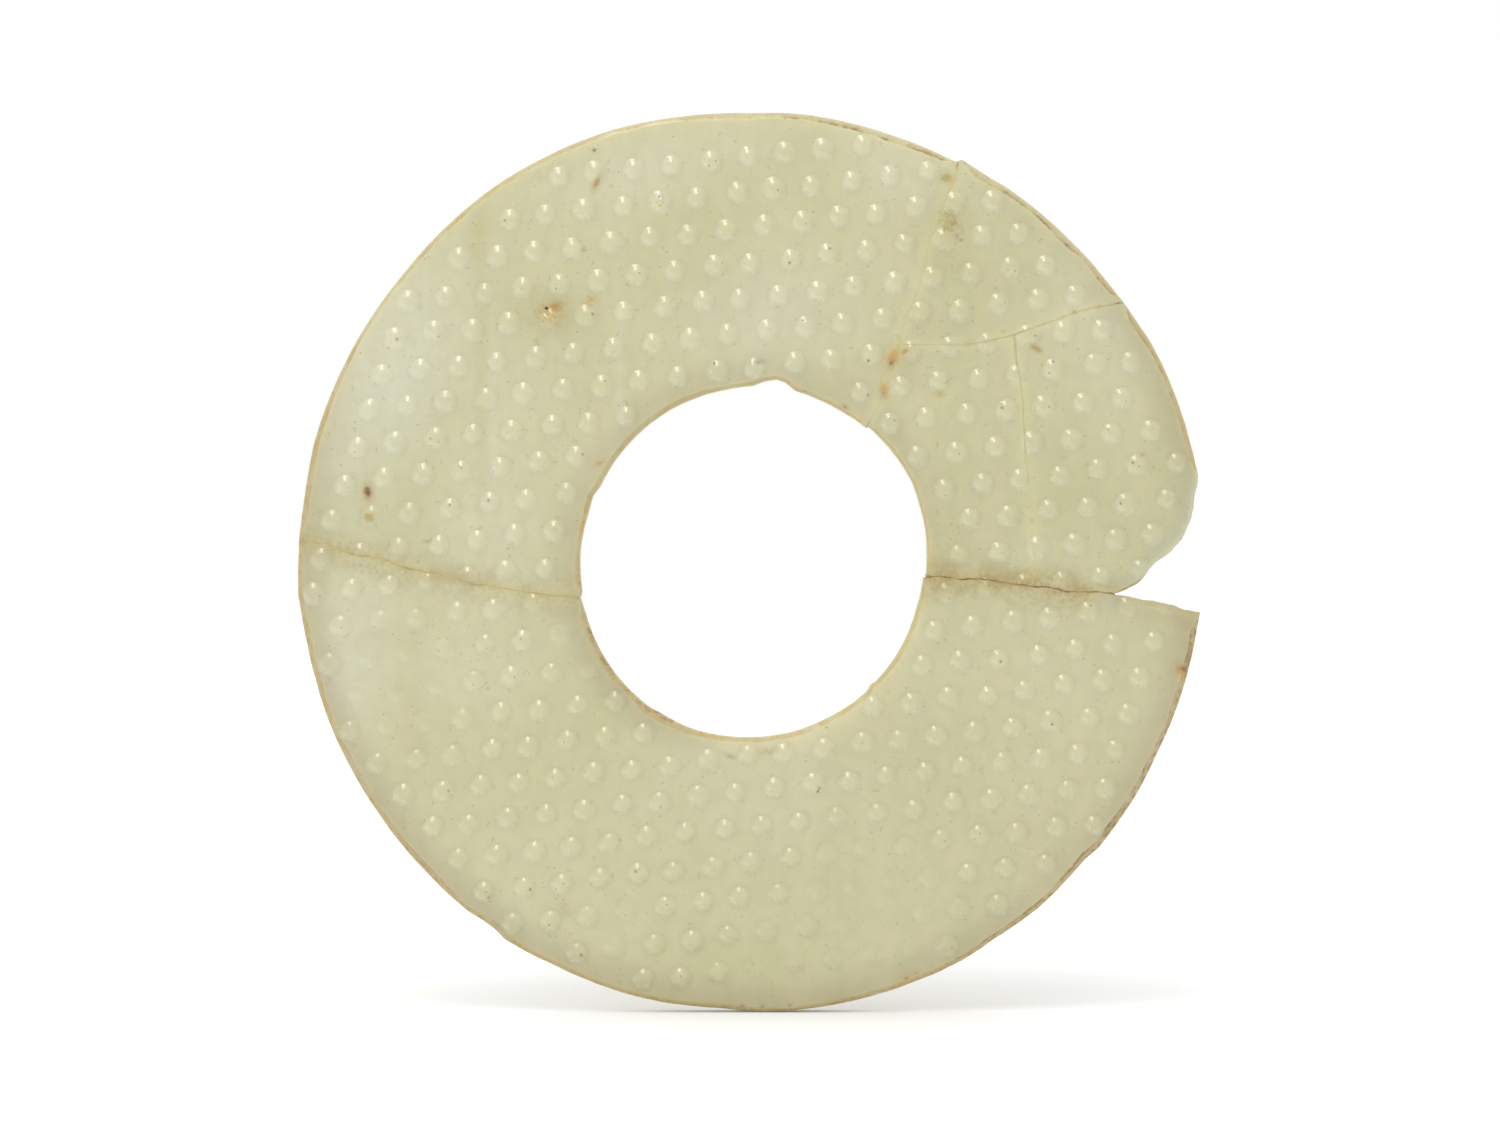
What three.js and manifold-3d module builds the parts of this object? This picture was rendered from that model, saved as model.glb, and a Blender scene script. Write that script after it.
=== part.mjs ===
// A moulded glass bi disc: a flat ring with a raised grain pattern on its front face,
// broken into five fragments that old adhesive holds together. Millimetres, +Z up.
// The disc stands upright, its grain faces -Y and its plain back faces +Y. The origin
// lies below the disc, at the level of its lowest point and halfway through its depth.
import * as THREE from "three";
import { mergeVertices } from "three/addons/utils/BufferGeometryUtils.js";
import Module from "manifold-3d";

// The slab of glass
const discDiameter = 117;
const holeDiameter = 45.4;
const holeAcross = 0.58;
const holeBelowCentre = 0.13;
const plateThickness = 3.6;
const arrisBevel = 0.3;

// The grain: round bosses on a slanting grid, pressed by hand and not quite regular
const bossDiameter = 2.7;
const bossHeight = 0.65;
const bossRoot = 0.4;
const bossSpacingAcross = 5.02;
const bossSpacingDown = 4.96;
const acrossAngle = 6.4;
const downAngle = 252.9;
const gridAcross = -1.48;
const gridAboveCentre = 2.1;
const pressJitter = 0.22;
const rowSwellShare = 0.012;
const rowSwellCount = 9.5;
const rowSwellMiddleCount = -1.5;
const bossSideCount = 6;
const shoulderShare = 0.62;
const shoulderRiseShare = 0.74;
const lowestBossShare = 0.3;

// The breaks: two wide joins and three hairlines, each filled with adhesive
const joinGap = 0.5;
const crackGap = 0.25;
const filmClearance = 0.05;
const filmSetBack = 0.2;

// How finely round stretches are drawn, and how far a cutting shape passes what it cuts
const arcStepAngle = 3;
const regionStepAngle = 30;
const overrun = 6;
const weldTolerance = 0.0001;

const discRadius = discDiameter / 2;
const holeRadius = holeDiameter / 2;
const bossRadius = bossDiameter / 2;

// The rim's radius as a share of the disc's, by angle from the right, counter-clockwise
const rimShares = [
  [-6.3, 1.005], [15, 1.014], [28, 1.016], [34.8, 1.01], [42, 1.009], [55, 1.009],
  [58, 1.007], [62.2, 1.01], [62.8, 0.999], [72, 1], [83, 1.002], [90, 0.998], [98, 1.001],
  [109, 1.008], [123, 1.009], [131, 1.006], [141, 1.001], [165, 1.004], [171, 1.001],
  [177, 1.002], [184, 1.006], [191, 1.001], [203, 1], [214, 0.997], [231, 0.997],
  [233.6, 0.9935], [235.6, 0.9945], [237, 1], [244, 0.996], [256, 0.998], [266, 0.993],
  [272, 1], [290, 1.002], [298, 1.003], [303, 0.998], [310, 1.001], [316, 0.997],
  [318.6, 0.996], [320.6, 1.002], [330, 1.002], [336, 1], [345, 1.004],
];

// The hole's radius as a share of its nominal radius, by angle about the hole's centre
const holeShares = [
  [-4.9, 0.969], [-4.2, 0.982], [4, 0.987], [18, 0.999], [27, 1.011], [44, 1.012],
  [49.8, 1.015], [50.4, 1.002], [60, 0.999], [70, 1.004], [76.4, 1.009], [78, 1.022],
  [80, 1.045], [83, 1.055], [87, 1.037], [90.5, 1.012], [100, 1.003], [120, 0.997],
  [137, 0.989], [146, 0.987], [153.6, 0.982], [157.2, 0.998], [164, 0.989], [176, 0.997],
  [189.4, 0.996], [191.4, 1.013], [197, 1.006], [210, 1.012], [228, 1.017], [234, 1.017],
  [238, 1.011], [250, 1.012], [266, 0.998], [281, 0.989], [295, 0.979], [311, 0.975],
  [313.8, 0.96], [316, 0.969], [330, 0.965], [345, 0.961], [352, 0.965],
];

// Each break runs through [angle, share] points about the disc's centre. A share of 0 lies
// on the hole's nominal edge and 1 on the rim's. The left join runs from the rim to the hole.
const leftJoinShares = [
  [177.2, 1], [177.6, 0.9], [178.6, 0.82], [179.8, 0.68], [181, 0.61], [182.2, 0.5],
  [183.1, 0.43], [184.9, 0.35], [186.3, 0.25], [188, 0.17], [189.7, 0.09], [191.6, 0],
];

// The right join, from the hole to the branch crack, then to the lost chip, then to the rim
const rightInnerShares = [[-4.8, 0], [-4.5, 0.11], [-4.3, 0.22], [-4.7, 0.29]];
const rightMeetsBranchShares = [-4.8, 0.4];
const rightMiddleShares = [[-5.2, 0.51], [-5, 0.61]];
const rightMeetsChipShares = [-5, 0.69];
const rightOuterShares = [[-5.2, 0.77], [-5.8, 0.9], [-6.3, 1]];

// The top crack, from the rim to the side crack and on to the hole
const topOuterShares = [
  [62.5, 1], [61.8, 0.94], [61.7, 0.86], [60.9, 0.76], [61, 0.71], [59.3, 0.6],
  [58.1, 0.51], [57.4, 0.41],
];
const topMeetsSideShares = [55.6, 0.32];
const topInnerShares = [[54.4, 0.25], [51.6, 0.16], [48.8, 0]];

// The side crack, from the rim to the branch crack and on to the top crack
const sideOuterShares = [[35, 1], [36.3, 0.93], [37.6, 0.84], [38.5, 0.77]];
const sideMeetsBranchShares = [40.7, 0.63];
const sideInnerShares = [[43.2, 0.53], [45, 0.48]];

// The branch crack, between the side crack and the right join
const branchShares = [
  [37.5, 0.58], [34.3, 0.55], [29.1, 0.5], [21.9, 0.44], [17.4, 0.42], [8.6, 0.4],
];

// The broken edge where a chip of the right rim is lost
const lostChipShares = [
  [-4.3, 0.73], [-3.1, 0.78], [-1.6, 0.8], [0, 0.84], [0.9, 0.88], [2.1, 0.91], [3.4, 0.94],
  [5.2, 0.97], [7.3, 0.99], [9.8, 1.01],
];

// Where the grain is worn down: [angle, share, reach as a share of the disc's radius, wear]
const wornShares = [
  [199, 0.7, 0.26, 0.8], [209, 0.05, 0.13, 0.8], [289, 0.72, 0.3, 0.8],
  [273, 0.9, 0.2, 0.7], [250, 0.78, 0.13, 0.5],
];

const wasm = await Module();
wasm.setup();

const radians = THREE.MathUtils.degToRad;

// The disc is drawn on a plane, X to the right and Y up, with its centre at zero.
function polar(angle, radius) {
  return new THREE.Vector2(Math.cos(radians(angle)), Math.sin(radians(angle))).multiplyScalar(radius);
}

const holeCentre = new THREE.Vector2(holeAcross, -holeBelowCentre);

// A point part of the way from the hole's nominal edge to the rim's
function pointAt([angle, share]) {
  return polar(angle, THREE.MathUtils.lerp(holeRadius, discRadius, share));
}

// A share read from a table by angle, straight between its rows, and closed on itself
function shareAt(table, angle) {
  const turn = 360;
  const first = table[0][0];
  const within = THREE.MathUtils.euclideanModulo(angle - first, turn) + first;
  const rows = [...table, [first + turn, table[0][1]]];
  const next = rows.findIndex((row) => row[0] > within);
  const [fromAngle, fromShare] = rows[next - 1];
  const [toAngle, toShare] = rows[next];
  return THREE.MathUtils.mapLinear(within, fromAngle, toAngle, fromShare, toShare);
}

// A closed outline about a centre: the table's own corners, and arcs between them
function outline(table, radius, centre) {
  const turn = 360;
  const points = [];
  table.forEach(([angle, share], index) => {
    const last = index === table.length - 1;
    const nextAngle = last ? table[0][0] + turn : table[index + 1][0];
    const steps = Math.max(1, Math.round((nextAngle - angle) / arcStepAngle));
    for (let step = 0; step < steps; step += 1) {
      const here = THREE.MathUtils.lerp(angle, nextAngle, step / steps);
      const rowShare = step === 0 ? share : shareAt(table, here);
      points.push(polar(here, radius * rowShare).add(centre));
    }
  });
  return points;
}

// A solid from a closed three.js geometry, its shared corners merged
function solidFrom(geometry) {
  const bare = geometry.index ? geometry.toNonIndexed() : geometry;
  bare.deleteAttribute("normal");
  bare.deleteAttribute("uv");
  const merged = mergeVertices(bare, weldTolerance);
  return new wasm.Manifold(
    new wasm.Mesh({
      numProp: 3,
      vertProperties: new Float32Array(merged.attributes.position.array),
      triVerts: new Uint32Array(merged.index.array),
    }),
  );
}

function geometryFrom(solid) {
  const mesh = solid.getMesh();
  const geometry = new THREE.BufferGeometry();
  geometry.setAttribute("position", new THREE.BufferAttribute(mesh.vertProperties, 3));
  geometry.setIndex(new THREE.BufferAttribute(mesh.triVerts, 1));
  geometry.computeVertexNormals();
  return geometry;
}

// A straight-sided slab of an outline, from one depth to another
function slab(points, from, to) {
  const geometry = new THREE.ExtrudeGeometry(new THREE.Shape(points), {
    depth: to - from,
    bevelEnabled: false,
  });
  return solidFrom(geometry.translate(0, 0, from));
}

// Moves an end of a path along its own direction: inwards for a positive trim
function trimmed(path, startTrim, endTrim) {
  const points = path.map((point) => point.clone());
  const startWay = points[1].clone().sub(points[0]).normalize();
  points[0].addScaledVector(startWay, startTrim);
  const last = points.length - 1;
  const endWay = points[last - 1].clone().sub(points[last]).normalize();
  points[last].addScaledVector(endWay, endTrim);
  return points;
}

// The outline of a strip of even width along a path
function strip(path, width) {
  const leftSide = [];
  const rightSide = [];
  path.forEach((point, index) => {
    const before = path[Math.max(0, index - 1)];
    const after = path[Math.min(path.length - 1, index + 1)];
    const wayIn = point === before ? after.clone().sub(point) : point.clone().sub(before);
    const wayOut = point === after ? wayIn.clone() : after.clone().sub(point);
    const along = wayIn.normalize().add(wayOut.normalize()).normalize();
    const reach = width / 2 / along.dot(wayOut);
    const across = new THREE.Vector2(-along.y, along.x).multiplyScalar(reach);
    leftSide.push(point.clone().add(across));
    rightSide.push(point.clone().sub(across));
  });
  return [...leftSide, ...rightSide.reverse()];
}

// The plate: the rim's outline with the hole's, both arrises bevelled front and back
function plate() {
  const shape = new THREE.Shape(outline(rimShares, discRadius, new THREE.Vector2()));
  shape.holes.push(new THREE.Path(outline(holeShares, holeRadius, holeCentre)));
  const geometry = new THREE.ExtrudeGeometry(shape, {
    depth: plateThickness - 2 * arrisBevel,
    bevelEnabled: true,
    bevelThickness: arrisBevel,
    bevelSize: arrisBevel,
    bevelOffset: -arrisBevel,
    bevelSegments: 1,
  });
  return solidFrom(geometry.translate(0, 0, arrisBevel));
}

// An even spread from -1 to 1 that is the same on every run
function scatter(column, row, kind) {
  const mixed = Math.sin(column * 12.9898 + row * 78.233 + kind * 37.719) * 43758.5453;
  return 2 * (mixed - Math.floor(mixed)) - 1;
}

// How much of a boss's height is left at a point, after the wear of the patches
function heightShareAt(point) {
  const left = wornShares.map(([angle, share, reachShare, wear]) => {
    const distance = point.distanceTo(pointAt([angle, share]));
    const fade = THREE.MathUtils.smoothstep(discRadius * reachShare - distance, 0, discRadius * reachShare);
    return 1 - wear * fade;
  });
  return Math.min(...left);
}

// The centres and heights of the bosses that keep at least a bevel's width clear of the bevels
function bossPlaces() {
  const across = polar(acrossAngle, bossSpacingAcross);
  const down = polar(downAngle, bossSpacingDown);
  const start = new THREE.Vector2(gridAcross, gridAboveCentre);
  const reach = Math.ceil(discDiameter / Math.min(bossSpacingAcross, bossSpacingDown));
  const margin = bossRadius + 2 * arrisBevel;
  const places = [];
  for (let row = -reach; row <= reach; row += 1) {
    const swell = 1 + rowSwellShare * Math.cos((Math.PI * (row - rowSwellMiddleCount)) / rowSwellCount);
    for (let column = -reach; column <= reach; column += 1) {
      const point = start.clone().addScaledVector(across, column * swell).addScaledVector(down, row);
      point.x += pressJitter * scatter(column, row, 1);
      point.y += pressJitter * scatter(column, row, 2);
      const angle = THREE.MathUtils.radToDeg(point.angle());
      const rim = discRadius * shareAt(rimShares, angle) - margin;
      const fromHole = point.clone().sub(holeCentre);
      const holeAngle = THREE.MathUtils.radToDeg(fromHole.angle());
      const hole = holeRadius * shareAt(holeShares, holeAngle) + margin;
      const heightShare = heightShareAt(point);
      if (point.length() < rim && fromHole.length() > hole && heightShare > lowestBossShare) {
        places.push({ point, heightShare });
      }
    }
  }
  return places;
}

// A low dome on the front face, rooted in the plate
function boss({ point, heightShare }) {
  const top = bossHeight * heightShare;
  const profile = [
    new THREE.Vector2(0, -bossRoot),
    new THREE.Vector2(bossRadius, -bossRoot),
    new THREE.Vector2(bossRadius, 0),
    new THREE.Vector2(bossRadius * shoulderShare, top * shoulderRiseShare),
    new THREE.Vector2(0, top),
  ];
  const geometry = new THREE.LatheGeometry(profile, bossSideCount);
  geometry.rotateX(Math.PI / 2);
  geometry.translate(point.x, point.y, plateThickness);
  return solidFrom(geometry);
}

// Where the breaks' centre lines meet
const topMeetsSide = pointAt(topMeetsSideShares);
const sideMeetsBranch = pointAt(sideMeetsBranchShares);
const rightMeetsBranch = pointAt(rightMeetsBranchShares);
const rightMeetsChip = pointAt(rightMeetsChipShares);

// The stretches of the centre lines, carried past the rim and into the hole
const leftBreak = trimmed(leftJoinShares.map(pointAt), -overrun, -overrun);
const rightInner = trimmed(rightInnerShares.map(pointAt), -overrun, 0);
const rightMiddle = rightMiddleShares.map(pointAt);
const rightOuter = trimmed(rightOuterShares.map(pointAt), 0, -overrun);
const topOuter = trimmed(topOuterShares.map(pointAt), -overrun, 0);
const topInner = trimmed(topInnerShares.map(pointAt), 0, -overrun);
const sideOuter = trimmed(sideOuterShares.map(pointAt), -overrun, 0);
const sideInner = sideInnerShares.map(pointAt);
const branch = branchShares.map(pointAt);
const lostChip = trimmed(lostChipShares.map(pointAt), 0, -overrun);

// The whole centre lines
const rightJoined = [...rightInner, rightMeetsBranch, ...rightMiddle, rightMeetsChip];
const rightBreak = [...rightJoined, ...rightOuter];
const topBreak = [...topOuter, topMeetsSide, ...topInner];
const sideBreak = [...sideOuter, sideMeetsBranch, ...sideInner, topMeetsSide];
const branchBreak = [sideMeetsBranch, ...branch, rightMeetsBranch];

// Points well outside the rim, counter-clockwise from one point's angle to another's
function roundOutside(from, to) {
  const turn = 2 * Math.PI;
  const sweep = THREE.MathUtils.euclideanModulo(to.angle() - from.angle(), turn);
  const steps = Math.ceil(sweep / radians(regionStepAngle)) + 1;
  const points = [];
  for (let step = 1; step < steps; step += 1) {
    const angle = THREE.MathUtils.radToDeg(from.angle() + (sweep * step) / steps);
    points.push(polar(angle, discRadius + 2 * overrun));
  }
  return points;
}

// Each fragment's own stretch of the disc, bounded by the centre lines of its breaks
const regions = {
  glass_upper_left: [
    ...leftBreak,
    holeCentre,
    ...topBreak.toReversed(),
    ...roundOutside(topBreak[0], leftBreak[0]),
  ],
  glass_upper_right: [
    ...topOuter,
    topMeetsSide,
    ...sideInner.toReversed(),
    sideMeetsBranch,
    ...sideOuter.toReversed(),
    ...roundOutside(sideOuter[0], topOuter[0]),
  ],
  glass_right_outer: [
    ...sideOuter,
    sideMeetsBranch,
    ...branch,
    rightMeetsBranch,
    ...rightMiddle,
    rightMeetsChip,
    ...lostChip,
    ...roundOutside(lostChip.at(-1), sideOuter[0]),
  ],
  glass_right_inner: [
    holeCentre,
    ...rightInner,
    rightMeetsBranch,
    ...branch.toReversed(),
    sideMeetsBranch,
    ...sideInner,
    topMeetsSide,
    ...topInner,
  ],
  glass_lower: [
    ...leftBreak.toReversed(),
    ...roundOutside(leftBreak[0], rightBreak.at(-1)),
    ...rightBreak.toReversed(),
    holeCentre,
  ],
};

// The empty gaps that the breaks leave in the glass
function gaps() {
  const intoNext = crackGap / 4;
  const depth = [-overrun, plateThickness + overrun];
  return [
    slab(strip(leftBreak, joinGap), ...depth),
    slab(strip(rightBreak, joinGap), ...depth),
    slab(strip(topBreak, crackGap), ...depth),
    slab(strip(trimmed(sideBreak, 0, -intoNext), crackGap), ...depth),
    slab(strip(trimmed(branchBreak, -intoNext, -intoNext), crackGap), ...depth),
  ];
}

// The plate's inside: its outline drawn in from the rim, the hole and both faces
function core() {
  const rim = outline(rimShares, discRadius - filmSetBack, new THREE.Vector2());
  const hole = outline(holeShares, holeRadius + filmSetBack, holeCentre);
  const depth = [filmSetBack, plateThickness - filmSetBack];
  return slab(rim, ...depth).subtract(slab(hole, -overrun, plateThickness + overrun));
}

// A film of adhesive along a break, clear of the glass on both sides and inside the plate
function film(path, gap) {
  const width = gap - 2 * filmClearance;
  return slab(strip(path, width), -overrun, plateThickness + overrun).intersect(core());
}

function films() {
  const clearOfCrack = crackGap / 2 + filmClearance;
  const clearOfJoin = joinGap / 2 + filmClearance;
  return {
    adhesive_left_join: film(leftBreak, joinGap),
    adhesive_right_join: film(trimmed(rightJoined, 0, filmSetBack), joinGap),
    adhesive_top_crack: film(topBreak, crackGap),
    adhesive_side_crack: film(trimmed(sideBreak, 0, clearOfCrack), crackGap),
    adhesive_branch_crack: film(trimmed(branchBreak, clearOfCrack, clearOfJoin), crackGap),
  };
}

// The grained plate, cut into its fragments
function fragments() {
  const grained = bossPlaces().reduce((body, place) => body.add(boss(place)), plate());
  const broken = gaps().reduce((body, gap) => body.subtract(gap), grained);
  const pieces = {};
  for (const [name, region] of Object.entries(regions)) {
    pieces[name] = broken.intersect(slab(region, -overrun, plateThickness + overrun));
  }
  return pieces;
}

// The glass is pale and milky, greener and yellower in places. The adhesive has browned.
const glassColours = {
  glass_upper_left: 0xd0d3a9,
  glass_upper_right: 0xc8c8a0,
  glass_right_outer: 0xc8c7a1,
  glass_right_inner: 0xc6c59a,
  glass_lower: 0xcbcea6,
};

function glass(name) {
  return new THREE.MeshStandardMaterial({ color: glassColours[name], roughness: 0.3, metalness: 0 });
}

const adhesive = new THREE.MeshStandardMaterial({ color: 0x9a7a48, roughness: 0.7, metalness: 0 });

const lowestPoint = Math.min(
  ...outline(rimShares, discRadius, new THREE.Vector2()).map((point) => point.y),
);

// The drawing plane is stood up: its Y becomes +Z, and its depth runs towards -Y.
const disc = new THREE.Group();
disc.rotation.x = Math.PI / 2;
disc.position.set(0, (plateThickness + bossHeight) / 2, -lowestPoint);

for (const [name, solid] of Object.entries(fragments())) {
  const mesh = new THREE.Mesh(geometryFrom(solid), glass(name));
  mesh.name = name;
  disc.add(mesh);
}
for (const [name, solid] of Object.entries(films())) {
  const mesh = new THREE.Mesh(geometryFrom(solid), adhesive);
  mesh.name = name;
  disc.add(mesh);
}

const group = new THREE.Group();
group.add(disc);

export default group;
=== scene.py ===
"""A moulded glass bi disc, broken into five fragments and stuck together with old adhesive.

Every fragment and every film of adhesive of the construction model is replaced by a fine mesh that
is drawn from the same sizes, breaks and grain. The classes work in millimetres on the disc's own
plane: X to the right and Y up from the disc's centre, and depth from the plain back towards the
grain. A mesh is turned upright and scaled to metres when it is made.
"""

import logging
import math
from dataclasses import dataclass, field, replace
from enum import Enum

import bpy
import numpy as np
from mathutils import Matrix, Vector, kdtree
from mathutils.geometry import delaunay_2d_cdt

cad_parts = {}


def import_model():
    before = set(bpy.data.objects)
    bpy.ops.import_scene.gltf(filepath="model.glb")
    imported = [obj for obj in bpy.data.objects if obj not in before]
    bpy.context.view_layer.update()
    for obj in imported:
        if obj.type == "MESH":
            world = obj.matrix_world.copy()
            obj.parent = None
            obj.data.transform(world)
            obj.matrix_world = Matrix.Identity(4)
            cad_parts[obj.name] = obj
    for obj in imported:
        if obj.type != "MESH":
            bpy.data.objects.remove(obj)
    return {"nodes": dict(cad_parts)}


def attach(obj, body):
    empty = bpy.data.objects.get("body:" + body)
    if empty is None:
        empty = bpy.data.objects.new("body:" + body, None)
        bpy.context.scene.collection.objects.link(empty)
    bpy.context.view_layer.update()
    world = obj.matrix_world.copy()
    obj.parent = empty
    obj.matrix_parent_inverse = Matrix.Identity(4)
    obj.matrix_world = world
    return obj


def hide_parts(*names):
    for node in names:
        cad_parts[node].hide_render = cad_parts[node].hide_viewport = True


frame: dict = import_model()

log = logging.getLogger("bi_disc")
MM = 0.001
TURN = 360.0
# Degrees between the points at which the rim's lowest point is looked for
SCAN_STEP = 0.25
# Shares of a dome's radius that stand for no dome: while the nearest is looked for, and in the mask
FAR_SHARE = 9.0
NO_BOSS = 3.0
# What two directions count as parallel under, and points as one
NO_TURN = 1e-12
MERGING = 1e-5
Points = np.ndarray
Socket = bpy.types.NodeSocket


class Slot(Enum):
    """The record's material slots."""

    GLASS = "milky_glass"
    ADHESIVE = "old_adhesive"


class Edge(Enum):
    """What a stretch of a fragment's outline is."""

    RIM = "rim"
    HOLE = "hole"
    JOIN = "join"
    CRACK = "crack"
    CHIP = "chip"


class Tint(Enum):
    """The kinds of stain on the grained face, each kept in its own vertex attribute."""

    BROWN = "stain_brown"
    ORANGE = "stain_orange"
    OLIVE = "stain_olive"
    PALE = "patch_pale"
    GREEN = "patch_green"
    DUST = "patch_dust"


def polar(angle: Points | float, radius: Points | float) -> Points:
    """Turns angles and radii into points.

    Args:
        angle: Degrees from the right, counter-clockwise.
        radius: Distance from the centre.

    Returns:
        An array whose last axis holds X and Y.
    """
    turned = np.radians(angle)
    return np.stack([np.cos(turned) * radius, np.sin(turned) * radius], axis=-1)


def angle_of(vectors: Points) -> Points:
    """Gives the angles of vectors, in degrees from the right, counter-clockwise."""
    return np.degrees(np.arctan2(vectors[:, 1], vectors[:, 0]))


def ease(value: Points) -> Points:
    """Clamps a value to 0 and 1 and eases it at both ends."""
    held = np.clip(value, 0.0, 1.0)
    return held * held * (3.0 - 2.0 * held)


def scatter(column: int, row: int, kind: int) -> float:
    """Gives the same uneven spread from -1 to 1 that the construction model presses its grain with."""
    mixed = math.sin(column * 12.9898 + row * 78.233 + kind * 37.719) * 43758.5453
    return 2.0 * (mixed - math.floor(mixed)) - 1.0


def distance_to_path(points: Points, path: Points) -> Points:
    """Measures how far points lie from a path of straight stretches.

    Args:
        points: The points, one a row.
        path: The corners of the path, one a row.

    Returns:
        One distance for each point.
    """
    best = np.full(len(points), np.inf)
    for start, end in zip(path[:-1], path[1:]):
        way = end - start
        share = np.clip((points - start) @ way / (way @ way), 0.0, 1.0)
        best = np.minimum(best, np.linalg.norm(points - start - share[:, None] * way, axis=1))
    return best


def resampled(path: Points, spacing: float) -> Points:
    """Spreads new points evenly along a path.

    Args:
        path: The path's points, one a row.
        spacing: About how far apart the new points lie.

    Returns:
        The new points, with the path's two ends kept.
    """
    steps = np.linalg.norm(np.diff(path, axis=0), axis=1)
    along = np.concatenate([[0.0], np.cumsum(steps)])
    count = max(2, int(round(along[-1] / spacing)) + 1)
    places = np.linspace(0.0, along[-1], count)
    return np.stack([np.interp(places, along, path[:, axis]) for axis in (0, 1)], axis=1)


def left_normals(path: Points) -> Points:
    """Gives the unit normal on the left of a path at each of its points.

    Args:
        path: The path's points, one a row.

    Returns:
        One normal for each point.
    """
    ways = np.gradient(path, axis=0)
    ways /= np.linalg.norm(ways, axis=1)[:, None]
    return np.stack([-ways[:, 1], ways[:, 0]], axis=1)


def smoothed_round(values: Points, reach: int) -> Points:
    """Averages a closed row of values over so many neighbours on each side."""
    return sum(np.roll(values, shift, axis=0) for shift in range(-reach, reach + 1)) / (2 * reach + 1)


def inside(points: Points, loop: Points) -> Points:
    """Tells which points lie inside a closed outline, by counting the sides to their right.

    Args:
        points: The points, one a row.
        loop: The outline's corners, one a row.

    Returns:
        True or False for each point.
    """
    found = np.zeros(len(points), bool)
    for start, end in zip(loop, np.roll(loop, -1, axis=0)):
        spans = (start[1] > points[:, 1]) != (end[1] > points[:, 1])
        rise = end[1] - start[1] or 1.0
        found ^= spans & (points[:, 0] < start[0] + (end[0] - start[0]) * (points[:, 1] - start[1]) / rise)
    return found


@dataclass(frozen=True)
class Ripple:
    """A smooth unevenness, made of a few waves that run in seeded directions.

    Attributes:
        octave: How many times as short a wave is as the one before it.
        decay: How high a wave is beside the one before it.
        gain: What brings the sum's usual extremes up to the height.
        sway: How far a wave's heading strays where it runs along a line.
    """

    seed: int
    length: float
    height: float
    waves: int = 7
    octave: float = 1.45
    decay: float = 0.72
    gain: float = 1.6
    sway: float = 0.4

    def at(self, points: Points) -> Points:
        """Gives the unevenness at points.

        Args:
            points: Places in millimetres, one a row, or distances along a line.

        Returns:
            One value for each point.
        """
        draw = np.random.default_rng(self.seed)
        places = points if points.ndim == 2 else np.stack([points, np.zeros_like(points)], axis=1)
        total = np.zeros(len(places))
        for wave in range(self.waves):
            rate = 2.0 * math.pi / self.length * self.octave**wave
            limits = (-self.sway, self.sway) if points.ndim == 1 else (0.0, math.pi)
            heading = draw.uniform(*limits)
            way = np.array([math.cos(heading), math.sin(heading)])
            total += np.sin(rate * (places @ way) + draw.uniform(0.0, 2.0 * math.pi)) * self.decay**wave
        whole = sum(self.decay**wave for wave in range(self.waves))
        return self.height * total / whole * self.gain


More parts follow.
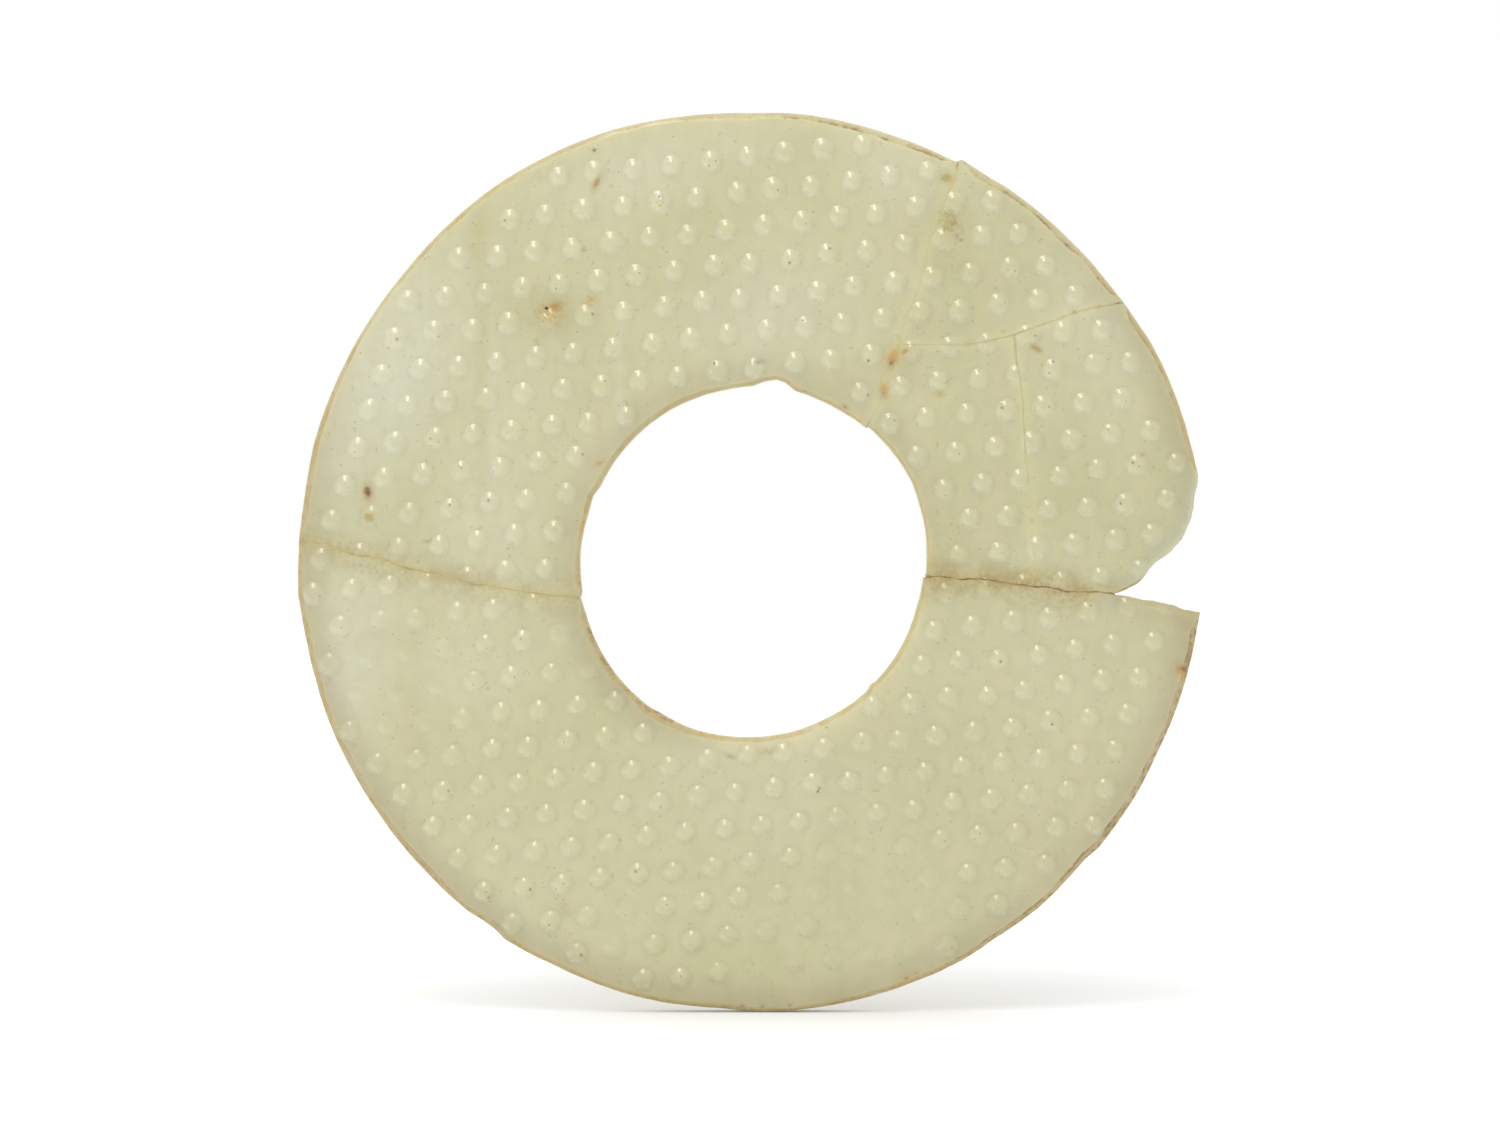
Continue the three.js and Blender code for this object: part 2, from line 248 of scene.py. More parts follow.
@dataclass
class Plan:
    """The disc's plan: its rim and hole by angle, its thickness and how it stands.

    Attributes:
        inset: How far the fine outline keeps inside the construction model's.
        rim: Rows of angle and share of the disc's radius.
        hole: Rows of angle about the hole's centre and share of the hole's radius.
    """

    disc_radius: float = 58.5
    hole_radius: float = 22.7
    hole_centre: tuple[float, float] = (0.58, -0.13)
    thickness: float = 3.6
    grain_height: float = 0.65
    inset: float = 0.05
    rim: tuple = (
        (-6.3, 1.005), (15, 1.014), (28, 1.016), (34.8, 1.01), (42, 1.009), (55, 1.009),
        (58, 1.007), (62.2, 1.01), (62.8, 0.999), (72, 1), (83, 1.002), (90, 0.998), (98, 1.001),
        (109, 1.008), (123, 1.009), (131, 1.006), (141, 1.001), (165, 1.004), (171, 1.001),
        (177, 1.002), (184, 1.006), (191, 1.001), (203, 1), (214, 0.997), (231, 0.997),
        (233.6, 0.9935), (235.6, 0.9945), (237, 1), (244, 0.996), (256, 0.998), (266, 0.993),
        (272, 1), (290, 1.002), (298, 1.003), (303, 0.998), (310, 1.001), (316, 0.997),
        (318.6, 0.996), (320.6, 1.002), (330, 1.002), (336, 1), (345, 1.004),
    )
    hole: tuple = (
        (-4.9, 0.969), (-4.2, 0.982), (4, 0.987), (18, 0.999), (27, 1.011), (44, 1.012),
        (49.8, 1.015), (50.4, 1.002), (60, 0.999), (70, 1.004), (76.4, 1.009), (78, 1.022),
        (80, 1.045), (83, 1.055), (87, 1.037), (90.5, 1.012), (100, 1.003), (120, 0.997),
        (137, 0.989), (146, 0.987), (153.6, 0.982), (157.2, 0.998), (164, 0.989), (176, 0.997),
        (189.4, 0.996), (191.4, 1.013), (197, 1.006), (210, 1.012), (228, 1.017), (234, 1.017),
        (238, 1.011), (250, 1.012), (266, 0.998), (281, 0.989), (295, 0.979), (311, 0.975),
        (313.8, 0.96), (316, 0.969), (330, 0.965), (345, 0.961), (352, 0.965),
    )

    def share(self, table: tuple, angle: Points, span: tuple[float, float] | None = None) -> Points:
        """Reads a table by angle.

        Args:
            table: Rows of angle and share.
            angle: The angles to read it at, in degrees.
            span: If given, only the rows between these two angles count, and their ends are held.

        Returns:
            One share for each angle.
        """
        rows = np.array([(row[0] + TURN * turn, row[1]) for turn in (-1, 0, 1) for row in table])
        if span is None:
            return np.interp(np.mod(angle, TURN), rows[:, 0], rows[:, 1])
        kept = rows[(rows[:, 0] >= span[0]) & (rows[:, 0] <= span[1])]
        return np.interp(angle, kept[:, 0], kept[:, 1])

    def point_at(self, angle: float, share: float) -> Points:
        """Gives a point part of the way from the hole's nominal edge to the rim's."""
        return polar(angle, self.hole_radius + (self.disc_radius - self.hole_radius) * share)

    def path(self, rows: list[tuple[float, float]]) -> Points:
        """Turns rows of angle and share into points."""
        return np.array([self.point_at(*row) for row in rows])

    def rim_gap(self, points: Points) -> Points:
        """Gives how far points lie inside the rim."""
        return self.disc_radius * self.share(self.rim, angle_of(points)) - np.linalg.norm(points, axis=1)

    def hole_gap(self, points: Points) -> Points:
        """Gives how far points lie outside the hole."""
        away = points - np.array(self.hole_centre)
        return np.linalg.norm(away, axis=1) - self.hole_radius * self.share(self.hole, angle_of(away))

    def centres(self) -> dict[Edge, Points]:
        """Gives the centres of the rim and of the hole."""
        return {Edge.RIM: np.zeros(2), Edge.HOLE: np.array(self.hole_centre)}

    def centre_height(self) -> float:
        """Gives the height of the disc's centre over its lowest point."""
        angle = np.arange(0.0, TURN, SCAN_STEP)
        return -float(np.min(polar(angle, self.disc_radius * self.share(self.rim, angle))[:, 1]))

    def stood_up(self, points: Points, depth: Points) -> Points:
        """Turns points and depths into upright places in metres.

        Args:
            points: Places on the disc's plane.
            depth: Their depths from the back face.

        Returns:
            X, Y and Z for each point, in metres.
        """
        forward = (self.thickness + self.grain_height) / 2.0 - depth
        return np.stack([points[:, 0], forward, points[:, 1] + self.centre_height()], axis=1) * MM


@dataclass
class Break:
    """A break through the glass, as a jagged centre line with two matching sides.

    Attributes:
        overrun: How far each end is carried on, so that it crosses its neighbours.
        side_seed: What is added to the seed for its two sides.
        width_length: The length over which the gap's width changes.
        width_sway: The share by which it changes.
    """

    edge: Edge
    path: Points
    gap: float
    jag: float
    seed: int
    overrun: tuple[float, float] = (3.0, 3.0)
    spacing: float = 0.3
    rounding: int = 3
    jag_length: float = 7.0
    side_seed: int = 50
    width_length: float = 3.0
    width_sway: float = 0.5

    def line(self) -> Points:
        """Draws the fine centre line: the corners rounded, the ends carried on, the jags added.

        Returns:
            The line's points.
        """
        corners = self.path
        first = corners[0] - corners[1]
        last = corners[-1] - corners[-2]
        start = corners[0] + first / np.linalg.norm(first) * self.overrun[0]
        end = corners[-1] + last / np.linalg.norm(last) * self.overrun[1]
        rough = resampled(np.vstack([start, corners, end]), self.spacing)
        for _ in range(self.rounding):
            rough[1:-1] = (rough[:-2] + 2.0 * rough[1:-1] + rough[2:]) / 4.0
        along = np.arange(len(rough)) * self.spacing
        stray = Ripple(self.seed, self.jag_length, self.jag, waves=8).at(along)
        return rough + left_normals(rough) * stray[:, None]

    def side(self, left: bool) -> Points:
        """Draws one broken edge.

        Args:
            left: Whether it is the edge on the left of the line's own direction.

        Returns:
            The edge's points in the line's own direction.
        """
        line = self.line()
        along = np.arange(len(line)) * self.spacing
        seed = self.seed + self.side_seed + left
        uneven = Ripple(seed, self.width_length, height=1.0, waves=6).at(along)
        half = self.gap / 2.0 * (1.0 + self.width_sway * uneven)
        return line + left_normals(line) * (half if left else -half)[:, None]


@dataclass
class Boss:
    """One pressed grain."""

    centre: Points
    height: float
    radius: float


@dataclass
class Grain:
    """The raised grain: domes on a slanting grid, pressed by hand and partly worn away.

    Attributes:
        across: The grid's spacing and angle along a row.
        down: The grid's spacing and angle from row to row.
        swell: The share by which rows spread, the rows that a full wave takes, and its middle row.
        margin: How far a dome's centre keeps from the rim and the hole.
        faintest: The share of height below which no trace is left.
        height_spread: A dome's share of the nominal height, and how far it varies.
        flank: Where the round cap ends and where the foot ends, as shares of the radius.
        cap_drop: The share of its height by which a dome falls to the end of its cap.
        worn: Rows of angle, share, reach as a share of the disc's radius, and wear.
        rings: The mesh's rings round a dome: share of its radius, and points.
    """

    plan: Plan
    diameter: float = 2.7
    height: float = 0.65
    across: tuple[float, float] = (5.02, 6.4)
    down: tuple[float, float] = (4.96, 252.9)
    start: tuple[float, float] = (-1.48, 2.1)
    jitter: float = 0.22
    swell: tuple[float, float, float] = (0.012, 9.5, -1.5)
    margin: float = 1.95
    faintest: float = 0.12
    height_spread: tuple[float, float] = (0.9, 0.08)
    radius_spread: float = 0.07
    flank: tuple[float, float] = (0.8, 1.15)
    cap_drop: float = 0.6
    worn: tuple = (
        (199, 0.7, 0.26, 0.8), (209, 0.05, 0.13, 0.8), (289, 0.72, 0.3, 0.8),
        (273, 0.9, 0.2, 0.7), (250, 0.78, 0.13, 0.5),
    )
    rings: tuple = (
        (0.0, 1), (0.13, 6), (0.27, 10), (0.41, 14), (0.55, 18), (0.69, 20), (0.84, 22),
        (0.94, 22), (1.06, 22), (1.2, 20),
    )

    def left_at(self, point: Points) -> float:
        """Gives the share of a dome's height that the wear has left at a point.

        Args:
            point: Where the dome stands.

        Returns:
            The share, from 0 to 1.
        """
        left = 1.0
        for angle, share, reach, wear in self.worn:
            fade = self.plan.disc_radius * reach
            away = float(np.linalg.norm(point - self.plan.point_at(angle, share)))
            left = min(left, 1.0 - wear * float(ease(np.array((fade - away) / fade))))
        return left

    def bosses(self) -> list[Boss]:
        """Lists every grain that is still on the face.

        Returns:
            The grains, row by row.
        """
        across = polar(self.across[1], self.across[0])
        down = polar(self.down[1], self.down[0])
        reach = math.ceil(2.0 * self.plan.disc_radius / self.down[0])
        found = []
        for row in range(-reach, reach + 1):
            swell = 1.0 + self.swell[0] * math.cos(math.pi * (row - self.swell[2]) / self.swell[1])
            for column in range(-reach, reach + 1):
                nudge = np.array([scatter(column, row, 1), scatter(column, row, 2)]) * self.jitter
                centre = np.array(self.start) + across * (column * swell) + down * row + nudge
                place = centre[None, :]
                clear = min(self.plan.rim_gap(place)[0], self.plan.hole_gap(place)[0])
                left = self.left_at(centre)
                if clear > self.margin and left > self.faintest:
                    usual, spread = self.height_spread
                    height = self.height * left * (usual + spread * scatter(column, row, 3))
                    radius = self.diameter / 2.0 * (1.0 + self.radius_spread * scatter(column, row, 4))
                    found.append(Boss(centre, height, radius))
        return found

    def profile(self, share: Points) -> Points:
        """Gives a dome's height over the face: a round cap that runs out into a concave foot.

        Args:
            share: Distances from its centre, as shares of its radius.

        Returns:
            Its height there, as shares of its full height.
        """
        cap_end, foot_end = self.flank
        drop = self.height * self.cap_drop
        ball = (self.diameter**2 / 4.0 * cap_end**2 / drop + drop) / 2.0
        radius = self.diameter / 2.0
        reach = np.clip(share, 0.0, cap_end) * radius
        cap = 1.0 - (ball - np.sqrt(ball**2 - reach**2)) / self.height
        edge = cap_end * radius
        slope = edge / math.sqrt(ball**2 - edge**2) / self.height * radius * (foot_end - cap_end)
        low = 1.0 - (ball - math.sqrt(ball**2 - edge**2)) / self.height
        t = np.clip((share - cap_end) / (foot_end - cap_end), 0.0, 1.0)
        foot = low * (1.0 - 3.0 * t**2 + 2.0 * t**3) - slope * (t - 2.0 * t**2 + t**3)
        return np.where(share < cap_end, cap, np.maximum(foot, 0.0))

    def ring_points(self, boss: Boss) -> Points:
        """Places the mesh's points round one dome.

        Args:
            boss: The dome.

        Returns:
            The points, ring by ring.
        """
        rings = []
        for index, (share, count) in enumerate(self.rings):
            angle = (np.arange(count) + 0.5 * (index % 2)) * TURN / count
            rings.append(boss.centre + polar(angle, share * boss.radius))
        return np.vstack(rings)


@dataclass(frozen=True)
class Stain:
    """A stain or pit on the grained face.

    Attributes:
        across: Its place to the right of the disc's centre.
        above: Its place above the disc's centre.
        pit: How deep its middle is sunk.
        small: The width under which it gets mesh points of its own.
    """

    across: float
    above: float
    width: float
    depth: float
    turn: float
    tint: Tint
    strength: float
    pit: float = 0.0
    small: float = 1.3

    def mask(self, points: Points) -> Points:
        """Gives the stain's share at points.

        Args:
            points: Places on the face.

        Returns:
            One share for each point, 1 in the stain's middle.
        """
        away = points - np.array([self.across, self.above])
        axis = polar(self.turn, 1.0)
        along = away @ axis / self.width
        aside = away @ np.array([-axis[1], axis[0]]) / self.depth
        return np.exp(-(along**2 + aside**2))

    def ring_points(self) -> Points:
        """Places mesh points round a small stain, so that its edge is drawn finely.

        Returns:
            The points, ring by ring, or none for a large stain.
        """
        if self.width >= self.small:
            return np.zeros((0, 2))
        circles, points, reach, twist, widest = 5, 14, 1.5, 40.0, 1.2
        centre = np.array([self.across, self.above])
        rings = [centre[None, :]]
        for step in np.arange(1, circles + 1) / circles * reach:
            angle = np.arange(points) * TURN / points + step * twist
            rings.append(centre + polar(angle, step * min(self.width, widest)))
        return np.vstack(rings)


BROWN, ORANGE, OLIVE, PALE, GREEN, DUST = Tint
# The stains and patches that can be told apart, each with the values of a Stain
STAINS: tuple[Stain, ...] = tuple(
    Stain(*row) for row in (
        (-26.4, 32.9, 0.25, 0.25, 20, BROWN, 1.0, 0.35), (-25.2, 33.0, 1.4, 1.0, 10, ORANGE, 0.9),
        (-25.0, 33.3, 0.7, 0.4, 10, BROWN, 0.5), (-26.4, 32.2, 0.7, 0.5, 0, PALE, 1.0, 0.25),
        (-26.0, 32.4, 3.6, 3.1, 0, OLIVE, 0.7), (-25.6, 32.0, 2.0, 1.5, 0, ORANGE, 0.5),
        (-20.6, 34.0, 1.2, 0.7, 30, ORANGE, 0.7), (-20.9, 33.3, 0.6, 0.5, 0, ORANGE, 0.5),
        (-19.9, 49.2, 1.3, 0.45, 65, OLIVE, 1.0), (-20.0, 49.0, 0.9, 0.32, 65, ORANGE, 0.9),
        (-21.5, 40.5, 0.4, 0.3, 0, BROWN, 0.5), (-35.2, 42.6, 2.4, 1.6, 70, ORANGE, 0.32),
        (-36.0, 41.0, 0.7, 0.5, 40, ORANGE, 0.45), (-11.7, 47.3, 0.5, 0.4, 0, BROWN, 0.6, 0.1),
        (-20.2, 53.4, 0.3, 0.25, 0, BROWN, 0.9), (18.4, 25.8, 0.8, 0.45, 60, BROWN, 0.9),
        (18.6, 26.6, 1.6, 1.0, 60, ORANGE, 1.0), (20.0, 27.2, 0.8, 0.5, 20, ORANGE, 0.9),
        (20.2, 27.5, 0.35, 0.25, 20, BROWN, 0.5), (19.6, 26.4, 4.0, 3.0, 30, OLIVE, 0.5),
        (17.4, 22.4, 0.8, 1.3, 0, ORANGE, 0.9), (17.4, 21.8, 0.5, 0.8, 0, BROWN, 0.55),
        (24.5, 21.8, 0.7, 0.45, 0, ORANGE, 0.7), (25.8, 44.2, 2.9, 3.4, 15, OLIVE, 0.75),
        (27.4, 41.8, 0.6, 0.4, 20, OLIVE, 0.9), (24.6, 44.2, 0.6, 0.35, 70, OLIVE, 0.9),
        (26.6, 43.9, 0.4, 0.3, 0, BROWN, 0.5), (25.3, 43.2, 0.35, 0.25, 40, BROWN, 0.55),
        (26.9, 42.3, 0.35, 0.22, 70, BROWN, 0.5), (25.6, 45.2, 0.3, 0.22, 0, BROWN, 0.45),
        (27.5, 43.0, 0.25, 0.35, 0, BROWN, 0.4), (25.2, 40.0, 5.0, 7.5, 15, OLIVE, 0.4),
        (22.0, 31.5, 3.6, 5.0, 15, OLIVE, 0.35), (25.5, 49.8, 1.1, 0.8, 0, OLIVE, 1.0),
        (26.2, 43.0, 2.2, 2.8, 15, DUST, 1.0), (37.0, 27.8, 0.9, 0.45, 150, OLIVE, 1.0),
        (37.2, 27.5, 1.1, 0.5, 150, ORANGE, 0.45), (37.5, 27.5, 0.35, 0.25, 150, BROWN, 0.5),
        (42.1, 32.4, 0.55, 0.35, 0, OLIVE, 0.9), (45.3, 33.1, 0.5, 0.3, 0, OLIVE, 0.9),
        (32.9, 29.9, 0.4, 0.3, 0, OLIVE, 0.8), (28.4, 28.3, 0.8, 0.4, 15, OLIVE, 0.7),
        (46.9, -3.3, 1.3, 0.4, -5, OLIVE, 0.8), (36.6, 5.4, 0.3, 0.3, 0, ORANGE, 0.8),
        (-49.6, 9.1, 0.9, 0.5, 100, BROWN, 1.0, 0.2), (-49.6, 9.1, 1.3, 0.85, 100, ORANGE, 0.95),
        (-49.4, 5.8, 1.0, 0.9, 0, OLIVE, 1.0), (-49.4, 5.9, 0.6, 0.5, 0, ORANGE, 0.35),
        (-42.0, 2.7, 0.6, 0.25, 0, OLIVE, 0.7), (1.2, 25.9, 0.9, 0.35, 10, BROWN, 0.45, 0.15),
        (-19.5, 12.8, 0.9, 0.4, 20, ORANGE, 0.8), (-24.1, -45.1, 1.1, 0.7, 120, OLIVE, 0.6),
        (50.9, 13.9, 0.4, 0.3, 30, OLIVE, 0.8), (56.0, -14.0, 0.9, 1.1, 70, ORANGE, 1.0),
        (56.3, -13.9, 0.5, 0.7, 70, BROWN, 1.0), (20.7, -53.8, 1.3, 0.6, 20, ORANGE, 0.5),
        (20.3, -54.0, 0.25, 0.2, 0, BROWN, 0.8), (21.6, -53.3, 0.2, 0.2, 0, BROWN, 0.7),
        (-1.0, -57.6, 0.3, 0.2, 0, BROWN, 0.9), (1.6, -57.7, 0.25, 0.2, 0, BROWN, 0.9),
        (5.2, -57.5, 0.25, 0.2, 0, BROWN, 0.8), (12.3, 20.1, 0.55, 0.25, 150, BROWN, 0.7),
        (26.2, 49.6, 0.6, 0.5, 0, ORANGE, 0.7), (26.0, 48.4, 0.6, 0.4, 70, ORANGE, 0.5),
        (27.0, 51.0, 0.3, 0.7, 0, ORANGE, 0.35), (-2.6, -25.2, 0.9, 0.35, 160, BROWN, 0.5),
        (2.2, -24.6, 1.4, 0.5, 10, OLIVE, 0.8), (-48.4, -10.2, 6.0, 2.2, 0, DUST, 1.0),
        (-44.2, -22.4, 3.2, 3.6, 0, DUST, 1.0), (-48.4, -10.2, 5.0, 1.8, 0, OLIVE, 0.18),
        (-44.2, -22.4, 2.8, 3.2, 0, OLIVE, 0.2), (-35.0, 24.0, 0.8, 26.0, 0, OLIVE, 0.22),
        (-33.2, 20.0, 0.6, 22.0, 0, PALE, 0.5), (-16.9, 18.0, 0.7, 20.0, 0, PALE, 0.4),
        (2.0, -31.0, 16.0, 7.0, 0, PALE, 0.3), (-47.0, 25.0, 19.0, 8.0, 65, PALE, 0.9),
        (-53.0, -12.0, 13.0, 8.0, 80, PALE, 0.7), (-35.0, 6.0, 12.0, 8.0, 90, PALE, 0.35),
        (-15.0, 51.0, 20.0, 5.0, 15, PALE, 0.4), (3.0, 32.0, 12.0, 9.0, 0, PALE, 0.5),
        (46.0, 33.0, 10.0, 7.0, 120, PALE, 0.4), (20.0, 50.0, 10.0, 4.0, 155, PALE, 0.4),
        (-32.0, 24.0, 10.0, 9.0, 60, PALE, 0.3), (-38.0, -13.0, 9.0, 6.0, 0, PALE, 0.35),
        # The wide faint olive patch at (-6, -53) is painted shade: it carries the darkening beside the
        # bottom rim further in
        (-6.0, -53.0, 19.0, 5.0, 0, OLIVE, 0.25), (37.0, -36.0, 6.0, 12.0, -45, OLIVE, 0.14),
        (51.0, 1.0, 3.5, 5.0, 0, OLIVE, 0.15), (-41.0, 16.0, 7.0, 6.0, 0, PALE, 0.25),
        # The faint olive patches at (27, 0) and (14, 24) darken the glass beside the hole
        (27.0, 0.0, 4.0, 4.5, 0, OLIVE, 0.24), (14.0, 24.0, 5.0, 3.5, 0, OLIVE, 0.22),
        (-24.0, -34.0, 10.0, 8.0, 20, GREEN, 0.5), (-2.0, -46.0, 16.0, 7.0, 0, GREEN, 0.5),
    )
)


@dataclass
class Face:
    """The grained face's relief, its marks and the colour masks that follow them.

    Attributes:
        inset: How far the fine face keeps inside the construction model's, as the back's does.
        lower_side_angle: The direction of each boss's lower side: the finish paints light on that side and
            shade on the other.
    """

    plan: Plan
    grain: Grain
    stains: tuple[Stain, ...] = STAINS
    wave: Ripple = Ripple(11, 26.0, 0.03)
    back_wave: Ripple = Ripple(12, 34.0, 0.04)
    inset: float = 0.03
    back_inset: float = 0.06
    lower_side_angle: float = -120.0
    bosses: list[Boss] = field(default_factory=list)

    def __post_init__(self) -> None:
        """Lists the bosses once."""
        self.bosses = self.grain.bosses()

    def boss_shares(self, points: Points) -> tuple[Points, Points, Points]:
        """Gives each point's place on the nearest boss.

        Args:
            points: Places on the face.

        Returns:
            The distance from the boss's centre as a share of its radius, the boss's height, and how
            far towards its lower side, where the finish paints light, the point lies, as a share of its
            radius.
        """
        shares = np.full(len(points), FAR_SHARE)
        heights = np.zeros(len(points))
        lower_sides = np.zeros(len(points))
        lower_way = polar(self.lower_side_angle, 1.0)
        order = np.argsort(points[:, 0])
        sorted_across = points[order, 0]
        reach = self.grain.diameter
        for boss in self.bosses:
            low, high = np.searchsorted(sorted_across, [boss.centre[0] - reach, boss.centre[0] + reach])
            near = order[low:high]
            share = np.linalg.norm(points[near] - boss.centre, axis=1) / boss.radius
            lower_side = (points[near] - boss.centre) @ lower_way / boss.radius
            closer = share < shares[near]
            shares[near[closer]] = share[closer]
            heights[near[closer]] = boss.height
            lower_sides[near[closer]] = lower_side[closer]
        return shares, heights, lower_sides

    def relief(self, points: Points) -> Points:
        """Gives the grained face's depth from the back face.

        Args:
            points: Places on the face.

        Returns:
            One depth for each point.
        """
        shares, heights, _ = self.boss_shares(points)
        level = self.plan.thickness - self.inset + self.wave.at(points)
        level += heights * self.grain.profile(shares)
        for stain in self.stains:
            if stain.pit:
                level -= stain.pit * stain.mask(points) ** 2
        return level

    def back(self, points: Points) -> Points:
        """Gives the plain back's depth at points."""
        return self.back_inset + np.abs(self.back_wave.at(points))


@dataclass(frozen=True)
class Section:
    """How an edge of the glass is worn or cut between the two faces.

    Attributes:
        rough: How far the wall strays in and out.
        width: The front bevel's width, which the rim and the hole have in a table of their own.
        line: How strong the dirty line is at the front bevel's inner edge.
        crust: How strong the dark crust is on the front bevel's outer half.
    """

    back_width: float
    back_drop: float
    rough: float
    width: float = 0.0
    drop: float = 0.0
    soil: float = 0.0
    line: float = 0.0
    crust: float = 0.0


SECTIONS: dict[Edge, Section] = {
    Edge.RIM: Section(0.35, 0.3, 0.04),
    Edge.HOLE: Section(0.3, 0.3, 0.04),
    Edge.JOIN: Section(0.08, 0.08, 0.02, 0.03, 0.015, 0.2),
    Edge.CRACK: Section(0.05, 0.05, 0.01, 0.02, 0.008),
    Edge.CHIP: Section(0.3, 0.5, 0.1, 0.5, 0.7),
}

# Round the two edges: angle, the front bevel's width, its soil, line and crust, and how much the glass
# beside it is lightened as painted light (above 0) or darkened as painted shade (below 0), by how the edge
# faces the light
ROUND: dict[Edge, tuple] = {
    Edge.RIM: (
        (9.8, 0.6, 0.9, 0.5, 0.2, -0.8), (20, 0.75, 1.0, 0.6, 0.1, -1.0),
        (35, 0.8, 0.9, 0.6, 0.1, -0.8), (45, 0.95, 0.6, 0.95, 0.0, -0.35),
        (56, 0.95, 0.65, 1.0, 0.0, -0.15), (64, 0.95, 0.65, 1.0, 0.0, 0.05),
        (75, 0.95, 0.65, 0.95, 0.0, 0.05), (90, 0.8, 0.75, 0.5, 0.0, 0.15),
        (112, 0.7, 0.8, 0.3, 0.1, 0.15), (145, 0.65, 0.85, 0.4, 0.1, 0.05),
        (160, 0.75, 1.0, 0.3, 0.2, -0.4), (168, 0.85, 1.0, 0.2, 0.35, -0.8),
        (180, 0.85, 1.0, 0.2, 0.35, -0.95), (200, 0.85, 1.0, 0.3, 0.35, -1.0),
        (225, 0.9, 1.0, 0.4, 0.5, -1.1), (250, 0.6, 1.0, 0.3, 0.4, -1.0),
        (290, 0.6, 1.0, 0.4, 0.45, -1.0), (315, 0.85, 1.0, 0.9, 0.7, -0.85),
        (340, 0.95, 1.0, 1.0, 0.95, -1.15), (353.7, 0.9, 1.0, 1.0, 0.95, -1.1),
    ),
    Edge.HOLE: (
        (10, 0.4, 0.6, 0.3, 0.1, -0.5), (32, 0.4, 0.6, 0.25, 0.1, -0.5),
        (60, 0.45, 0.6, 0.3, 0.1, -0.5), (120, 0.65, 0.65, 0.25, 0.1, -0.75),
        (165, 0.65, 0.95, 0.3, 0.2, -0.9), (200, 0.85, 1.0, 0.4, 0.6, -0.9),
        (240, 0.85, 1.0, 0.4, 0.6, -0.9), (258, 0.65, 0.85, 0.3, 0.2, 0.0),
        (282, 0.65, 0.85, 0.25, 0.0, 0.65), (332, 0.6, 0.75, 0.2, 0.0, 0.4),
        (352, 0.5, 0.6, 0.2, 0.1, 0.05),
    ),
}


def read_round(edge: Edge, away: Points, column: int) -> Points:
    """Reads a column of an edge's table at the angles of vectors from its centre."""
    rows = np.array(ROUND[edge])
    return np.interp(angle_of(away), rows[:, 0], rows[:, column], period=TURN)


def placed(name: str, data: bpy.types.ID) -> bpy.types.Object:
    """Makes an object of a mesh, a lamp or a camera and puts it into the scene."""
    made = bpy.data.objects.new(name, data)
    bpy.context.scene.collection.objects.link(made)
    return made


def smooth_piece(name: str, places: Points, faces: list, marks: dict[str, Points]) -> bpy.types.Object:
    """Makes a smooth mesh and puts its object into the scene.

    Args:
        name: The piece's name.
        places: Its points in metres, one a row.
        faces: The points' numbers for each face.
        marks: Vertex values by name, which its finish reads.

    Returns:
        The piece.
    """
    mesh = bpy.data.meshes.new(name)
    mesh.from_pydata(places.tolist(), [], faces)
    for key, values in marks.items():
        layer = mesh.attributes.new(key, "FLOAT", "POINT")
        layer.data.foreach_set("value", values.astype(np.float32))
    mesh.polygons.foreach_set("use_smooth", [True] * len(mesh.polygons))
    mesh.update()
    return placed(name, mesh)


@dataclass
class Stretch:
    """One stretch of a fragment's outline, with the fragment on its left.

    Attributes:
        points: Its points, running past both of its corners.
        end: About where its last corner lies.
    """

    edge: Edge
    points: Points
    end: Points


def tree_of(points: Points) -> kdtree.KDTree:
    """Sorts points, so that the nearest to a place is found fast.

    Args:
        points: The points, one a row.

    Returns:
        The tree, which gives the index and the distance of the nearest point.
    """
    tree = kdtree.KDTree(max(1, len(points)))
    for index, point in enumerate(points):
        tree.insert((*point, 0.0), index)
    tree.balance()
    return tree


def crossing(first: Points, second: Points, near: Points) -> tuple[int, int, Points]:
    """Finds where two paths cross, nearest to a hint.

    Args:
        first: One path.
        second: The other path.
        near: About where they cross.

    Returns:
        The index of the stretch on each path, and the crossing.

    Raises:
        ValueError: If the paths don't cross.
    """
    start, way = first[:-1, None, :], (first[1:] - first[:-1])[:, None, :]
    other, turn = second[None, :-1, :], (second[1:] - second[:-1])[None, :, :]
    cross = way[..., 0] * turn[..., 1] - way[..., 1] * turn[..., 0]
    cross = np.where(np.abs(cross) < NO_TURN, NO_TURN, cross)
    gap = other - start
    along = (gap[..., 0] * turn[..., 1] - gap[..., 1] * turn[..., 0]) / cross
    beside = (gap[..., 0] * way[..., 1] - gap[..., 1] * way[..., 0]) / cross
    hits = np.argwhere((along >= 0) & (along < 1) & (beside >= 0) & (beside < 1))
    if not len(hits):
        raise ValueError("two stretches of an outline don't cross")
    places = [first[i] + along[i, j] * (first[i + 1] - first[i]) for i, j in hits]
    best = int(np.argmin([np.linalg.norm(place - near) for place in places]))
    return int(hits[best][0]), int(hits[best][1]), places[best]


